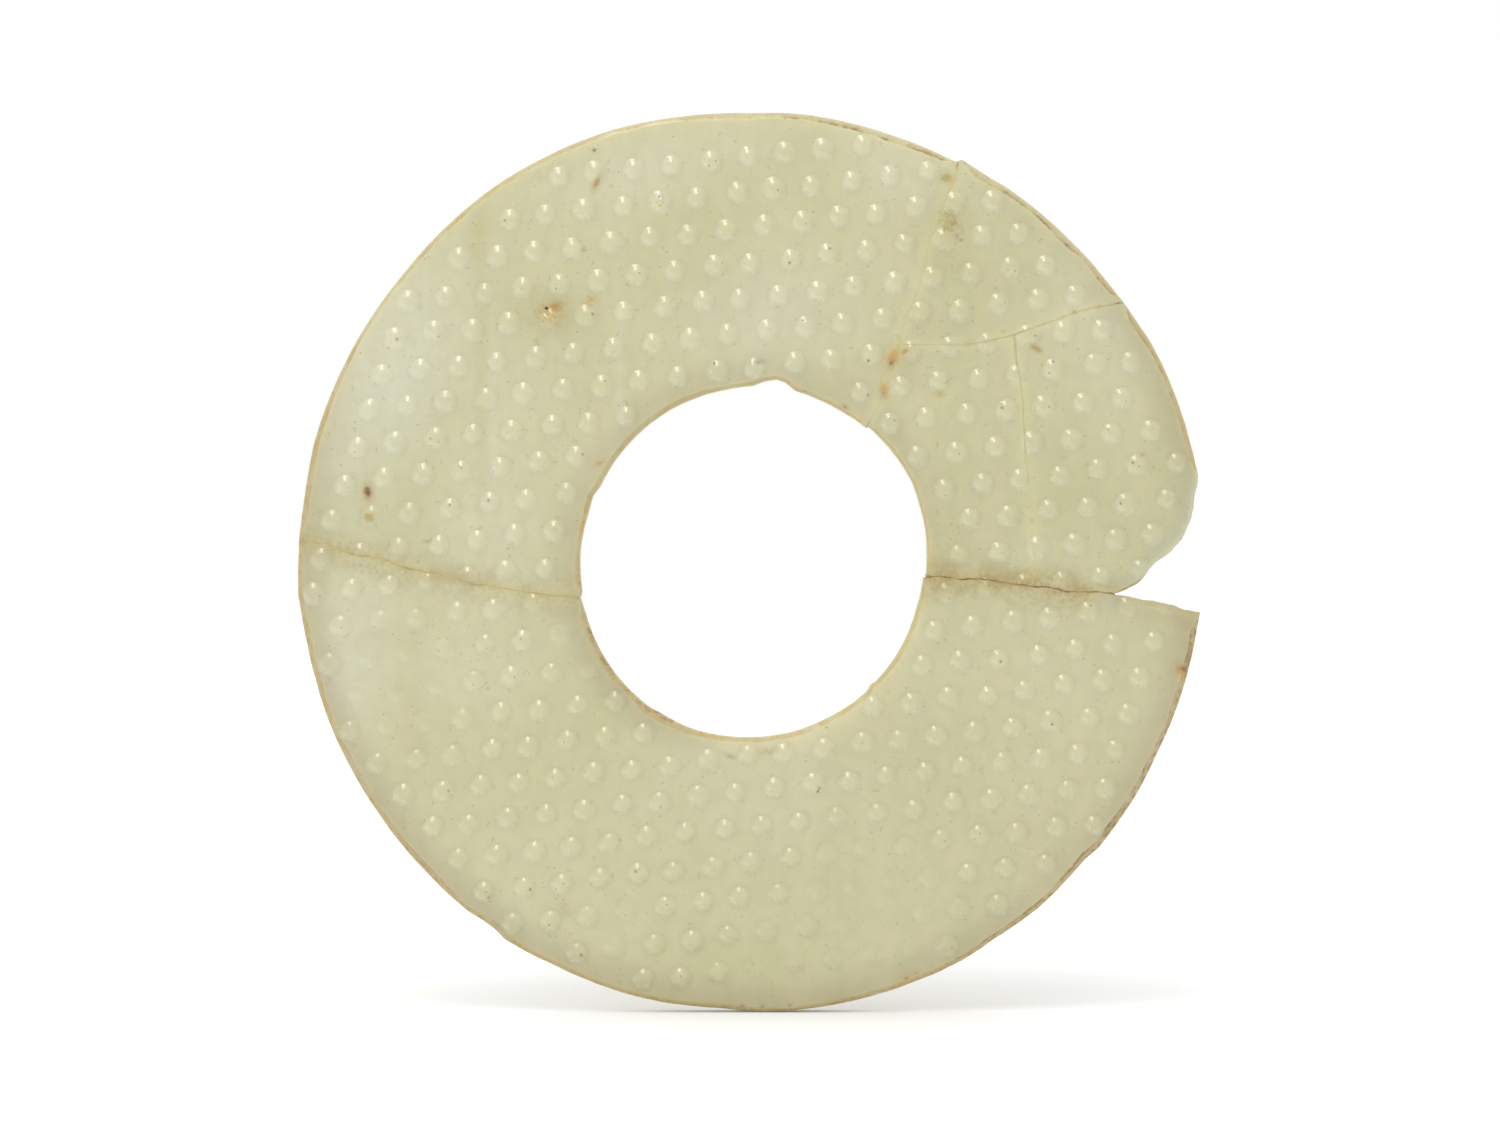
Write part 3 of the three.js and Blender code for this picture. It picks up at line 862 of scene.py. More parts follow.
@dataclass
class Fragment:
    """One fragment of the glass plate.

    Attributes:
        soak: How far the stains of the joins reach into it, as a share of the usual.
        corner: The narrowest bevel, at a corner, and how fast it may widen from there.
        hold: The ring inside a bevel: its width, and its share of a narrow bevel's.
        crisp: Over which widths of bevel its normals go over to smoother ones.
        smoothing: How many neighbours the crisp and the smoother ones are averaged over.
        bevel: The front bevel's rings: share of its width, share of its depth, and how far down it is.
        wall: The wall's rings, as shares of its height.
        clear: Where the wall starts and ends, as shares of the two bevels' depths.
        drift: How far the roughness's pattern moves with depth and from ring to ring.
        back_bevel: The back bevel's rings, as the front's.
        dirt: The share of an edge's dirt that it holds, by the share of the plate's thickness.
    """

    name: str
    node: str
    face: Face
    stretches: list[Stretch]
    joins: list[Points]
    cracks: list[Points]
    chip: Points
    soak: float = 1.0
    lattice: float = 0.5
    back_lattice: float = 1.4
    loop_spacing: float = 0.3
    uneven: tuple[Ripple, ...] = (Ripple(21, 14.0, 0.2), Ripple(22, 2.5, 0.12))
    corner: tuple[float, float] = (0.02, 0.4)
    hold: tuple[float, float] = (0.1, 0.4)
    bevel_drop: float = 0.75
    crisp: tuple[float, float] = (0.3, 0.7)
    smoothing: tuple[int, int] = (1, 6)
    blending: int = 3
    bevel: tuple = ((1.0, 0.0, 0.0), (0.8, 0.1, 0.3), (0.46, 0.4, 0.65), (0.1, 0.92, 1.0))
    wall: tuple = (0.0, 0.25, 0.5, 0.75, 1.0)
    clear: tuple[float, float] = (1.1, 1.05)
    roughness: Ripple = Ripple(31, 5.0, 1.0)
    drift: tuple[float, float] = (2.0, 40.0)
    back_bevel: tuple = ((0.1, 0.9, 1.0), (0.5, 0.45, 0.65), (0.92, 0.05, 0.3), (1.0, 0.0, 0.0))
    dirt: tuple = ((0.0, 0.6, 0.9), (0.6, 0.45, 1.0))

    def outline(self) -> tuple[Points, list[Edge], Points]:
        """Cuts the stretches at their crossings and strings them into one loop.

        Returns:
            The loop's points, what each belongs to, and each point's distance from a corner.
        """
        count = len(self.stretches)
        cuts = []
        for index, stretch in enumerate(self.stretches):
            after = self.stretches[(index + 1) % count]
            cuts.append(crossing(stretch.points, after.points, stretch.end))
        points, edges, from_corner = [], [], []
        for index, stretch in enumerate(self.stretches):
            _, first, start = cuts[index - 1]
            last, _, end = cuts[index]
            path = np.vstack([start, stretch.points[first + 1 : last + 1], end])
            fine = resampled(path, self.loop_spacing)[:-1]
            along = np.arange(len(fine)) * self.loop_spacing
            points.append(fine)
            edges += [stretch.edge] * len(fine)
            from_corner.append(np.minimum(along, len(fine) * self.loop_spacing - along))
        return np.vstack(points), edges, np.concatenate(from_corner)

    def sections(self, loop: Points, edges: list[Edge], from_corner: Points) -> dict[str, Points]:
        """Works out the edge's section all round.

        Args:
            loop: The outline's points.
            edges: What each point belongs to.
            from_corner: Each point's distance from a corner.

        Returns:
            The values of a Section by name, one for each point, and the width of the ring inside it.
        """
        found = {}
        for key in vars(SECTIONS[Edge.RIM]):
            found[key] = np.array([getattr(SECTIONS[edge], key) for edge in edges])
        for edge, centre in self.face.plan.centres().items():
            here = np.array([other is edge for other in edges])
            for column, key in enumerate(("width", "soil", "line", "crust"), 1):
                found[key] = np.where(here, read_round(edge, loop - centre, column), found[key])
            found["drop"] = np.where(here, self.bevel_drop * found["width"], found["drop"])
        uneven = sum((ripple.at(loop) for ripple in self.uneven), start=1.0)
        narrowest, widening = self.corner
        limit = narrowest + widening * from_corner
        usual, share = self.hold
        found["hold"] = np.minimum(usual, share * limit)
        for key in ("width", "drop", "back_width", "back_drop"):
            even = smoothed_round(found[key] * uneven, self.blending)
            found[key] = np.minimum(even, limit - found["hold"])
        return found

    def inward(self, loop: Points, width: Points) -> Points:
        """Gives the loop's inward normals, smoothed more where the bevel is wide.

        Args:
            loop: The outline's points.
            width: The bevel's width at each.

        Returns:
            One unit normal for each point.
        """
        ways = np.roll(loop, -1, axis=0) - np.roll(loop, 1, axis=0)
        normals = np.stack([-ways[:, 1], ways[:, 0]], axis=1)
        normals /= np.linalg.norm(normals, axis=1)[:, None]
        near, wide = (smoothed_round(normals, reach) for reach in self.smoothing)
        narrow, broad = self.crisp
        blend = ease((width - narrow) / (broad - narrow))[:, None]
        mixed = near * (1.0 - blend) + wide * blend
        return mixed / np.linalg.norm(mixed, axis=1)[:, None]

    def rings(self, loop: Points, cut: dict[str, Points], inward: Points) -> list[tuple]:
        """Lists the rings of points that run from the grained face over the edge to the back.

        Args:
            loop: The outline's points.
            cut: The edge's section at each.
            inward: The inward normal at each.

        Returns:
            For each ring its points, its depths and how far down the bevel it lies, from 0 to 1.
        """
        face = self.face
        top = face.relief(loop + inward * cut["width"][:, None])
        inner = loop + inward * (cut["width"] + cut["hold"])[:, None]
        made = [(inner, face.relief(inner), 0.0)]
        for across, down, place in self.bevel:
            points = loop + inward * (cut["width"] * across)[:, None]
            made.append((points, top - cut["drop"] * down if down else face.relief(points), place))
        bottom = face.back(loop + inward * cut["back_width"][:, None])
        clear_of_front, clear_of_back = self.clear
        by_depth, by_ring = self.drift
        low, high = top - cut["drop"] * clear_of_front, bottom + cut["back_drop"] * clear_of_back
        for step in self.wall:
            depth = low + (high - low) * step
            stray = cut["rough"] * self.roughness.at(loop + depth[:, None] * by_depth + by_ring * step)
            bulge = np.abs(stray) * math.sin(math.pi * step)
            made.append((loop + inward * bulge[:, None], depth, 1.0))
        for across, down, place in self.back_bevel:
            points = loop + inward * (cut["back_width"] * across)[:, None]
            made.append((points, bottom + cut["back_drop"] * down, place))
        inner = loop + inward * (cut["back_width"] + cut["hold"])[:, None]
        made.append((inner, face.back(inner), 0.0))
        return made

    def spread(self, loop: Points, spacing: float, extra: Points) -> Points:
        """Fills a loop with points: the given ones first, then an even lattice between them.

        Args:
            loop: The outline to fill.
            spacing: The lattice's spacing.
            extra: Points that have their own places.

        Returns:
            The points that lie clear of the outline and of each other.
        """
        low, high = loop.min(axis=0), loop.max(axis=0)
        rise = spacing * math.sqrt(3.0) / 2.0
        rows = np.arange(low[1], high[1], rise)
        columns = np.arange(low[0], high[0], spacing)
        across, up = np.meshgrid(columns, rows)
        across = across + (np.arange(len(rows)) % 2)[:, None] * spacing / 2.0
        lattice = np.stack([across.ravel(), up.ravel()], axis=1)
        edge = tree_of(loop)
        given = extra[np.all((extra > low) & (extra < high), axis=1)]
        given = given[inside(given, loop)]
        given_gap = 0.5 * self.loop_spacing
        edge_gap = 0.75 * min(spacing, self.lattice)
        own_gap = 0.6 * spacing
        given = np.array([point for point in given if edge.find((*point, 0.0))[2] > given_gap])
        given = given.reshape(-1, 2)
        taken = tree_of(given)
        kept = []
        for point in lattice[inside(lattice, loop)]:
            place = (*point, 0.0)
            clear = edge.find(place)[2] > edge_gap
            if clear and (not len(given) or taken.find(place)[2] > own_gap):
                kept.append(point)
        return np.vstack([given, np.array(kept).reshape(-1, 2)])

    def filled(self, loop: Points, inner: Points) -> Points:
        """Joins a loop and the points inside it into triangles.

        Args:
            loop: The outline's points.
            inner: The points inside it.

        Returns:
            The corners' numbers for each triangle, with the loop numbered first.

        Raises:
            ValueError: If the outline crosses itself.
        """
        together = [Vector(point) for point in np.vstack([loop, inner])]
        ring = [list(range(len(loop)))]
        places, _, faces, sources, _, owners = delaunay_2d_cdt(together, [], ring, 1, MERGING, True)
        if len(places) > len(together):
            raise ValueError(f"{self.name}: the outline of a face crosses itself")
        number = [source[0] for source in sources]
        kept = [triangle for triangle, owner in zip(faces, owners) if owner]
        return np.array([[number[corner] for corner in triangle] for triangle in kept])

    def soiled(self, depth: Points, place: float) -> Points:
        """Gives how much of an edge's dirt a ring holds.

        Args:
            depth: The depths of the ring's points.
            place: How far down the bevel the ring lies.

        Returns:
            One share for each point: all on the front bevel, less further back.
        """
        if place == 0.0:
            return np.zeros_like(depth)
        return np.interp(depth / self.face.plan.thickness, *self.dirt)

    def marks(self, points: Points, front: Points) -> dict[str, Points]:
        """Works out the colour masks that the glass finish reads.

        Args:
            points: Places on the disc's plane.
            front: 1 for the points on the grained side, 0 for the rest.

        Returns:
            The masks by name, one value for each point.
        """
        plan = self.face.plan
        shares, heights, lower_sides = self.face.boss_shares(points)
        found = {tint.value: np.zeros(len(points)) for tint in Tint}
        for stain in self.face.stains:
            mask = stain.strength * stain.mask(points) * front
            found[stain.tint.value] = np.maximum(found[stain.tint.value], mask)
        found["boss_share"] = np.where(front > 0, np.minimum(shares, NO_BOSS), NO_BOSS)
        found["boss_height"] = heights / self.face.grain.height * front
        found["boss_lower_side"] = lower_sides * front
        rim_gap, hole_gap = plan.rim_gap(points), plan.hole_gap(points)
        lights = [read_round(edge, points - centre, 5) for edge, centre in plan.centres().items()]
        found["edge_gap"] = np.minimum(rim_gap, hole_gap)
        # Painted light (above 0) or painted shade (below 0) beside the nearer of the rim and the hole
        found["edge_light"] = np.where(rim_gap < hole_gap, *lights)
        lines = {"join_gap": self.joins, "crack_gap": self.cracks, "chip_gap": [self.chip]}
        for key, paths in lines.items():
            found[key] = np.min([distance_to_path(points, path) for path in paths], axis=0)
        found["join_gap"] /= self.soak
        return found

    def build(self) -> bpy.types.Object:
        """Makes the fragment.

        Returns:
            Its object, with a closed mesh: the edge's rings, the grained face and the back.
        """
        loop, edges, from_corner = self.outline()
        cut = self.sections(loop, edges, from_corner)
        rings = self.rings(loop, cut, self.inward(loop, cut["width"]))
        own = [self.face.grain.ring_points(boss) for boss in self.face.bosses]
        own += [stain.ring_points() for stain in self.face.stains]
        front = self.spread(rings[0][0], self.lattice, np.vstack(own))
        back = self.spread(rings[-1][0], self.back_lattice, np.zeros((0, 2)))
        places = np.vstack([*(ring[0] for ring in rings), front, back])
        depths = [*(ring[1] for ring in rings), self.face.relief(front), self.face.back(back)]
        count = len(loop)
        plain = np.zeros(len(front) + len(back))
        ring_marks = {
            "soil": [cut["soil"] * self.soiled(*ring[1:]) for ring in rings],
            "line": [cut["line"]] * len(rings),
            "crust": [cut["crust"]] * len(rings),
            "bevel": [np.full(count, ring[2]) for ring in rings],
        }
        edge_marks = {key: np.concatenate([*values, plain]) for key, values in ring_marks.items()}
        faces = []
        here = np.arange(count)
        after = np.roll(here, -1)
        for low in range(0, (len(rings) - 1) * count, count):
            high = low + count
            faces += np.stack([here + high, after + high, after + low, here + low], axis=1).tolist()
        front_start = len(rings) * count
        back_start = front_start + len(front)
        for start, ring_start, corners in (
            (front_start, 0, self.filled(rings[0][0], front)),
            (back_start, front_start - count, self.filled(rings[-1][0], back)[:, ::-1]),
        ):
            faces += np.where(corners < count, corners + ring_start, corners - count + start).tolist()
        on_front = np.zeros(len(places))
        on_front[: (1 + len(self.bevel)) * count] = 1.0
        on_front[front_start:back_start] = 1.0
        marks = self.marks(places, on_front) | edge_marks
        upright = self.face.plan.stood_up(places, np.concatenate(depths))
        return smooth_piece(self.name, upright, faces, marks)


@dataclass
class Film:
    """A film of old adhesive in a break.

    Attributes:
        stop: Where it ends, if that isn't the break's own end.
        overlap: How far it reaches into the glass on each side.
        set_back: How far its ends keep from the rim and the hole.
        fading: Rows of share of its length and how far it fades into the glass.
        section: The points round it: share across, share of the way down, and how far it is sunk there.
    """

    name: str
    node: str
    crack: Break
    face: Face
    stop: Points | None = None
    overlap: float = 0.05
    sunk: float = 0.0
    set_back: float = 0.05
    dark: float = 0.5
    fading: tuple = ((0.0, 0.0), (1.0, 0.0))
    lumps: tuple[float, float] = (2.0, 0.006)
    lift: float = 0.03
    section: tuple = (
        (0.0, 0, 0.0), (0.25, 0, 0.005), (0.5, 0, 0.01), (0.75, 0, 0.005), (1.0, 0, 0.0), (1.0, 1, 0.0),
        (1.0, 2, 0.0), (1.0, 3, 0.0), (0.5, 3, -0.02), (0.0, 3, 0.0), (0.0, 2, 0.0), (0.0, 1, 0.0),
    )

    def build(self) -> bpy.types.Object:
        """Makes the film.

        Returns:
            Its object, with a closed mesh: rings along the break, and a cap at each end.
        """
        line = self.crack.line()
        ends = (self.crack.path[0], self.crack.path[-1] if self.stop is None else self.stop)
        first, last = (int(np.argmin(np.linalg.norm(line - end, axis=1))) for end in ends)
        keep = np.arange(first, last + 1)
        plan = self.face.plan
        gap = np.minimum(plan.rim_gap(line[keep]), plan.hole_gap(line[keep]))
        keep = keep[gap > self.set_back]
        left, right, line = self.crack.side(True)[keep], self.crack.side(False)[keep], line[keep]
        way = left - right
        way /= np.linalg.norm(way, axis=1)[:, None]
        left, right = left + way * self.overlap, right - way * self.overlap
        top = self.face.relief(line) - self.sunk + Ripple(self.crack.seed, *self.lumps).at(line)
        bottom = self.face.back(line) + self.lift
        columns = []
        for across, down, dish in self.section:
            depth = (top * (3 - down) + bottom * down) / 3 - dish
            columns.append(plan.stood_up(left + (right - left) * across, depth))
        grid = np.stack(columns, axis=1)
        rows, around = grid.shape[:2]
        faces = []
        for low in range(0, (rows - 1) * around, around):
            high = low + around
            for spot in range(around):
                beside = (spot + 1) % around
                faces.append((low + spot, low + beside, high + beside, high + spot))
        faces.append(tuple(range(around))[::-1])
        faces.append(tuple((rows - 1) * around + spot for spot in range(around)))
        shares = np.repeat(np.linspace(0.0, 1.0, rows), around)
        marks = {"fade": np.interp(shares, *zip(*self.fading)), "dark": np.full(len(shares), self.dark)}
        return smooth_piece(self.name, grid.reshape(-1, 3), faces, marks)


def ink(*levels: int) -> tuple[float, float, float, float]:
    """Turns a colour as a screen shows it into the light that Blender works in.

    Args:
        *levels: Its red, green and blue, from 0 to 255.

    Returns:
        Red, green, blue and an alpha of 1.
    """
    shown = [level / 255.0 for level in levels]
    linear = [v / 12.92 if v <= 0.04045 else ((v + 0.055) / 1.055) ** 2.4 for v in shown]
    return (*linear, 1.0)


@dataclass(frozen=True)
class Ramp:
    """An eased passage from a first level to a last, as a value goes from low to high."""

    low: float | Socket
    high: float | Socket
    first: float = 0.0
    last: float = 1.0


@dataclass(frozen=True)
class Noise:
    """An even noise: its lumps to a millimetre, and its finer noises and their strength."""

    scale: float | Socket
    detail: float = 3.0
    rough: float = 0.55


@dataclass(frozen=True)
class Cloud:
    """Soft clouding, so many times as high as wide, moved by a shift."""

    size: float = 10.0
    stretch: float = 1.0
    softness: float = 0.5
    shift: float = 0.0


@dataclass(frozen=True)
class Specks:
    """Small ragged specks, one at most in a cell and in a share of the cells, moved by a shift."""

    cell: float = 3.0
    size: float = 0.2
    share: float = 0.3
    shift: float = 0.0


@dataclass(frozen=True)
class Grime:
    """Dirt within a reach of a line, which breaks up along it; the distance changes over the surface."""

    distance: float = 1.0
    reach: float = 1.0
    breakup: float = 0.5


class Graph:
    """Builds a node tree, taking sockets and plain values alike as inputs."""

    def __init__(self, tree: bpy.types.NodeTree) -> None:
        """Keeps the tree that the nodes go into."""
        self.tree = tree

    @staticmethod
    def of(owner: bpy.types.Material | bpy.types.World) -> "Graph":
        """Empties the node tree of a material or the world.

        Args:
            owner: The material or world.

        Returns:
            The graph of its tree.
        """
        owner.use_nodes = True
        owner.node_tree.nodes.clear()
        return Graph(owner.node_tree)

    def feed(self, socket: Socket, value: object) -> None:
        """Links a socket into an input, or sets the input's own value.

        Args:
            socket: The input.
            value: The socket or the value.
        """
        if isinstance(value, bpy.types.NodeSocket):
            self.tree.links.new(value, socket)
        else:
            socket.default_value = value

    def add(self, kind: str, inputs: dict | None = None, **settings: object) -> bpy.types.Node:
        """Adds a node.

        Args:
            kind: Its type, without the leading ShaderNode.
            inputs: Sockets or values by the name or number of the input.
            **settings: The node's own properties.

        Returns:
            The node.
        """
        node = self.tree.nodes.new("ShaderNode" + kind)
        for key, value in settings.items():
            setattr(node, key, value)
        for key, value in (inputs or {}).items():
            self.feed(node.inputs[key], value)
        return node

    def math(self, operation: str, *values: object) -> Socket:
        """Adds a sum on one, two or three values and gives its result."""
        return self.add("Math", dict(enumerate(values)), operation=operation).outputs[0]

    def times(self, first: object, *others: object) -> Socket:
        """Multiplies values.

        Args:
            first: The first of them.
            *others: The rest.

        Returns:
            The product.
        """
        for other in others:
            first = self.math("MULTIPLY", first, other)
        return first

    def vector(self, operation: str, first: object, second: object) -> bpy.types.Node:
        """Adds a sum on two vectors and gives its node."""
        return self.add("VectorMath", {0: first, 1: second}, operation=operation)

    def ramp(self, value: object, ramp: Ramp) -> Socket:
        """Takes a value through a ramp.

        Args:
            value: The value.
            ramp: The ramp.

        Returns:
            The level.
        """
        limits = {"From Min": ramp.low, "From Max": ramp.high, "To Min": ramp.first, "To Max": ramp.last}
        return self.add("MapRange", {"Value": value} | limits, interpolation_type="SMOOTHSTEP").outputs[0]

    def mix(self, share: object, first: object, second: object, blend: str = "MIX") -> Socket:
        """Mixes two colours.

        Args:
            share: The second colour's share.
            first: The first colour.
            second: The second colour.
            blend: How they are mixed.

        Returns:
            The mixed colour.
        """
        node = self.add("Mix", data_type="RGBA", blend_type=blend, clamp_factor=True)
        for index, value in ((0, share), (6, first), (7, second)):
            self.feed(node.inputs[index], value)
        return node.outputs[2]

    def noise(self, place: object, noise: Noise) -> Socket:
        """Adds a noise texture and gives its value."""
        inputs = {"Vector": place, "Scale": noise.scale, "Detail": noise.detail, "Roughness": noise.rough}
        return self.add("TexNoise", inputs).outputs[0]

    def read(self, name: str) -> Socket:
        """Reads a vertex attribute's value."""
        return self.add("Attribute", attribute_type="GEOMETRY", attribute_name=name).outputs["Fac"]

    def place(self) -> Socket:
        """Gives the object's own coordinates in millimetres."""
        origin = self.add("TexCoord").outputs["Object"]
        return self.add("VectorMath", {0: origin, 3: 1.0 / MM}, operation="SCALE").outputs[0]

    def plain_view(self) -> Socket:
        """Gives 1 for rays that look straight, by a mirror or through glass, and 0 for light."""
        rays = self.add("LightPath").outputs
        seen = self.math("MAXIMUM", rays["Is Camera Ray"], rays["Is Glossy Ray"])
        return self.math("MAXIMUM", seen, rays["Is Transmission Ray"])

    def end(self, kind: str, shader: bpy.types.Node) -> None:
        """Adds the output node and feeds a shader into it."""
        self.feed(self.add(kind).inputs[0], shader.outputs[0])


class Effects:
    """The shader node groups that the finishes share, each built once."""

    def __init__(self) -> None:
        """Builds the groups."""
        self.trees = {Cloud: self.make_cloud(), Specks: self.make_specks(), Grime: self.make_grime()}

    @staticmethod
    def started(name: str, values: Cloud | Specks | Grime) -> tuple[Graph, dict, Socket]:
        """Starts a node group with a place and an effect's values as inputs.

        Args:
            name: The group's name.
            values: The inputs' defaults.

        Returns:
            The graph, the inputs' sockets by name, and the socket that takes the mask.
        """
        tree = bpy.data.node_groups.new(name, "ShaderNodeTree")
        tree.interface.new_socket("Place", in_out="INPUT", socket_type="NodeSocketVector")
        for key, default in vars(values).items():
            socket = tree.interface.new_socket(
                key.capitalize(), in_out="INPUT", socket_type="NodeSocketFloat"
            )
            socket.default_value = default
        tree.interface.new_socket("Mask", in_out="OUTPUT", socket_type="NodeSocketFloat")
        entry = tree.nodes.new("NodeGroupInput")
        leave = tree.nodes.new("NodeGroupOutput")
        return Graph(tree), {socket.name: socket for socket in entry.outputs}, leave.inputs["Mask"]

    def lay(self, graph: Graph, place: Socket, values: Cloud | Specks | Grime, **changing: Socket) -> Socket:
        """Places an effect's group in a node tree.

        Args:
            graph: The tree's graph.
            place: The place that the effect is drawn at.
            values: The effect's values, whose class picks the group.
            **changing: Values that change over the surface, by the name of the input.

        Returns:
            The effect's mask.
        """
        node = graph.add("Group", node_tree=self.trees[type(values)])
        graph.feed(node.inputs["Place"], place)
        for key, value in (vars(values) | changing).items():
            graph.feed(node.inputs[key.capitalize()], value)
        return node.outputs["Mask"]

    def make_cloud(self) -> bpy.types.NodeTree:
        """Builds the clouding, from 0 to 1.

        Returns:
            The group.
        """
        graph, given, mask = self.started("clouding", Cloud())
        upright = graph.math("DIVIDE", 1.0, given["Stretch"])
        scale = graph.add("CombineXYZ", {0: 1.0, 1: 1.0, 2: upright}).outputs[0]
        drawn = graph.vector("MULTIPLY", given["Place"], scale).outputs[0]
        moved = graph.vector("ADD", drawn, given["Shift"]).outputs[0]
        value = graph.noise(moved, Noise(graph.math("DIVIDE", 1.0, given["Size"]), 4.0))
        half = graph.times(given["Softness"], 0.5)
        low, high = graph.math("SUBTRACT", 0.5, half), graph.math("ADD", 0.5, half)
        graph.feed(mask, graph.ramp(value, Ramp(low, high)))
        return graph.tree

    def make_specks(self) -> bpy.types.NodeTree:
        """Builds the specks, each of its own size and raggedness.

        Returns:
            The group.
        """
        graph, given, mask = self.started("specks", Specks())
        least_size, least_ragged, firm = 0.45, 0.5, 0.35
        moved = graph.vector("ADD", given["Place"], given["Shift"]).outputs[0]
        rate = graph.math("DIVIDE", 1.0, given["Cell"])
        cells = graph.add("TexVoronoi", {"Vector": moved, "Scale": rate, "Randomness": 1.0})
        away = graph.times(cells.outputs["Distance"], given["Cell"])
        ragged = graph.noise(moved, Noise(3.0, 2.0))
        parts = graph.add("SeparateColor", {0: cells.outputs["Color"]})
        grown = graph.times(given["Size"], graph.math("ADD", parts.outputs[1], least_size))
        size = graph.times(grown, graph.math("ADD", ragged, least_ragged))
        near = graph.ramp(away, Ramp(size, graph.times(size, firm)))
        chosen = graph.math("LESS_THAN", parts.outputs[0], given["Share"])
        graph.feed(mask, graph.times(near, chosen))
        return graph.tree

    def make_grime(self) -> bpy.types.NodeTree:
        """Builds the dirt beside a line, whose reach swings along it.

        Returns:
            The group.
        """
        graph, given, mask = self.started("grime", Grime())
        least_reach, firm, gone = 0.01, 0.1, Ramp(1.15, 0.85)
        coarse = graph.noise(given["Place"], Noise(0.35, 3.0))
        fine = graph.noise(given["Place"], Noise(1.9, 3.0, 0.65))
        both = graph.math("ADD", graph.times(coarse, 1.2), graph.times(fine, 0.8))
        swing = graph.times(graph.math("SUBTRACT", both, 1.0), given["Breakup"])
        reach = graph.times(given["Reach"], graph.math("MULTIPLY_ADD", swing, 2.0, 1.0))
        share = graph.math("DIVIDE", given["Distance"], graph.math("MAXIMUM", reach, least_reach))
        held = graph.ramp(share, Ramp(1.0, firm))
        lost = graph.times(graph.ramp(both, gone), given["Breakup"])
        graph.feed(mask, graph.times(held, graph.math("SUBTRACT", 1.0, lost)))
        return graph.tree


@dataclass
class Paint:
    """A surface while its layers are laid on, with its place in millimetres and its colour so far."""

    graph: Graph
    effects: Effects
    place: Socket
    colour: object

    def cover(self, share: object, colour: object, blend: str = "MIX") -> None:
        """Lays a colour over the present one."""
        self.colour = self.graph.mix(share, self.colour, colour, blend)

    def mask(self, values: Cloud | Specks | Grime, **changing: Socket) -> Socket:
        """Gives the mask of one of the shared effects."""
        return self.effects.lay(self.graph, self.place, values, **changing)

    def noise(self, noise: Noise, ramp: Ramp | None = None) -> Socket:
        """Gives a noise, taken through a ramp if there is one."""
        value = self.graph.noise(self.place, noise)
        return self.graph.ramp(value, ramp) if ramp else value

    def read(self, name: str, ramp: Ramp | None = None) -> Socket:
        """Gives a vertex attribute's value, taken through a ramp if there is one."""
        value = self.graph.read(name)
        return self.graph.ramp(value, ramp) if ramp else value

    def finish(self, rough: Socket, relief: Socket, bump: tuple[float, float], others: dict) -> None:
        """Feeds the surface into its shader, and the shader into the output.

        Args:
            rough: The roughness.
            relief: The fine relief, from 0 to 1.
            bump: The relief's strength and its height in metres.
            others: The shader's other values, by the names of its inputs.
        """
        strength, height = bump
        normal = self.graph.add("Bump", {"Strength": strength, "Distance": height, "Height": relief})
        surface = {"Base Color": self.colour, "Roughness": rough, "Normal": normal.outputs[0]}
        self.graph.end("OutputMaterial", self.graph.add("BsdfPrincipled", surface | others))


@dataclass(frozen=True)
class Body:
    """The glass's own colour before any dirt, with painted light and shade laid over it.

    Attributes:
        dim: The duller colour, painted as shade on the side away from the light.
        away: The direction away from the light.
        lean: How that painted shade sets in along it.
        shade: The deeper colour, painted as shade beside the edges that face away from the light.
        glow: The lighter colour, painted as light beside the edges that face it.
        beside: How far from an edge both reach.
        streaks: Upright streaks: how they are drawn, how strong they are and their colour.
    """

    light: tuple = ink(212, 209, 168)
    deep: tuple = ink(200, 197, 147)
    clouds: Cloud = Cloud(26.0)
    patches: tuple = ((PALE, ink(221, 220, 196)), (GREEN, ink(205, 210, 163)))
    dim: tuple = ink(196, 192, 146)
    away: tuple[float, float, float] = (0.87, 0.0, -0.5)
    lean: Ramp = Ramp(-60.0, 30.0, 0.0, 0.3)
    shade: tuple = ink(163, 150, 107)
    glow: tuple = ink(234, 226, 186)
    beside: Ramp = Ramp(5.5, 0.0, 0.0, 0.6)
    streaks: tuple = (
        (Cloud(5.0, 6.0, 0.5, 11.0), 0.3, ink(221, 211, 174)),
        (Cloud(2.0, 20.0, 0.4, 31.0), 0.14, ink(200, 197, 147)),
    )
    mottle: Noise = Noise(0.45, 4.0)
    level: Ramp = Ramp(0.2, 0.8, 0.965, 1.03)

    def lay(self, paint: Paint) -> None:
        """Lays the layer on.

        Args:
            paint: The surface, which has no colour yet.
        """
        graph = paint.graph
        paint.colour = graph.mix(paint.mask(self.clouds), self.light, self.deep)
        for tint, colour in self.patches:
            paint.cover(paint.read(tint.value), colour)
        # Painted shade: the dim colour on the side away from the light
        across = graph.vector("DOT_PRODUCT", paint.place, self.away).outputs["Value"]
        paint.cover(graph.ramp(across, self.lean), self.dim)
        # Painted light beside the edges that face the light, painted shade beside those that face away
        light = graph.times(paint.read("edge_gap", self.beside), paint.read("edge_light"))
        paint.cover(light, self.glow)
        paint.cover(graph.times(light, -1.0), self.shade)
        for cloud, strength, colour in self.streaks:
            paint.cover(graph.times(paint.mask(cloud), strength), colour)
        paint.cover(1.0, paint.noise(self.mottle, self.level), "MULTIPLY")


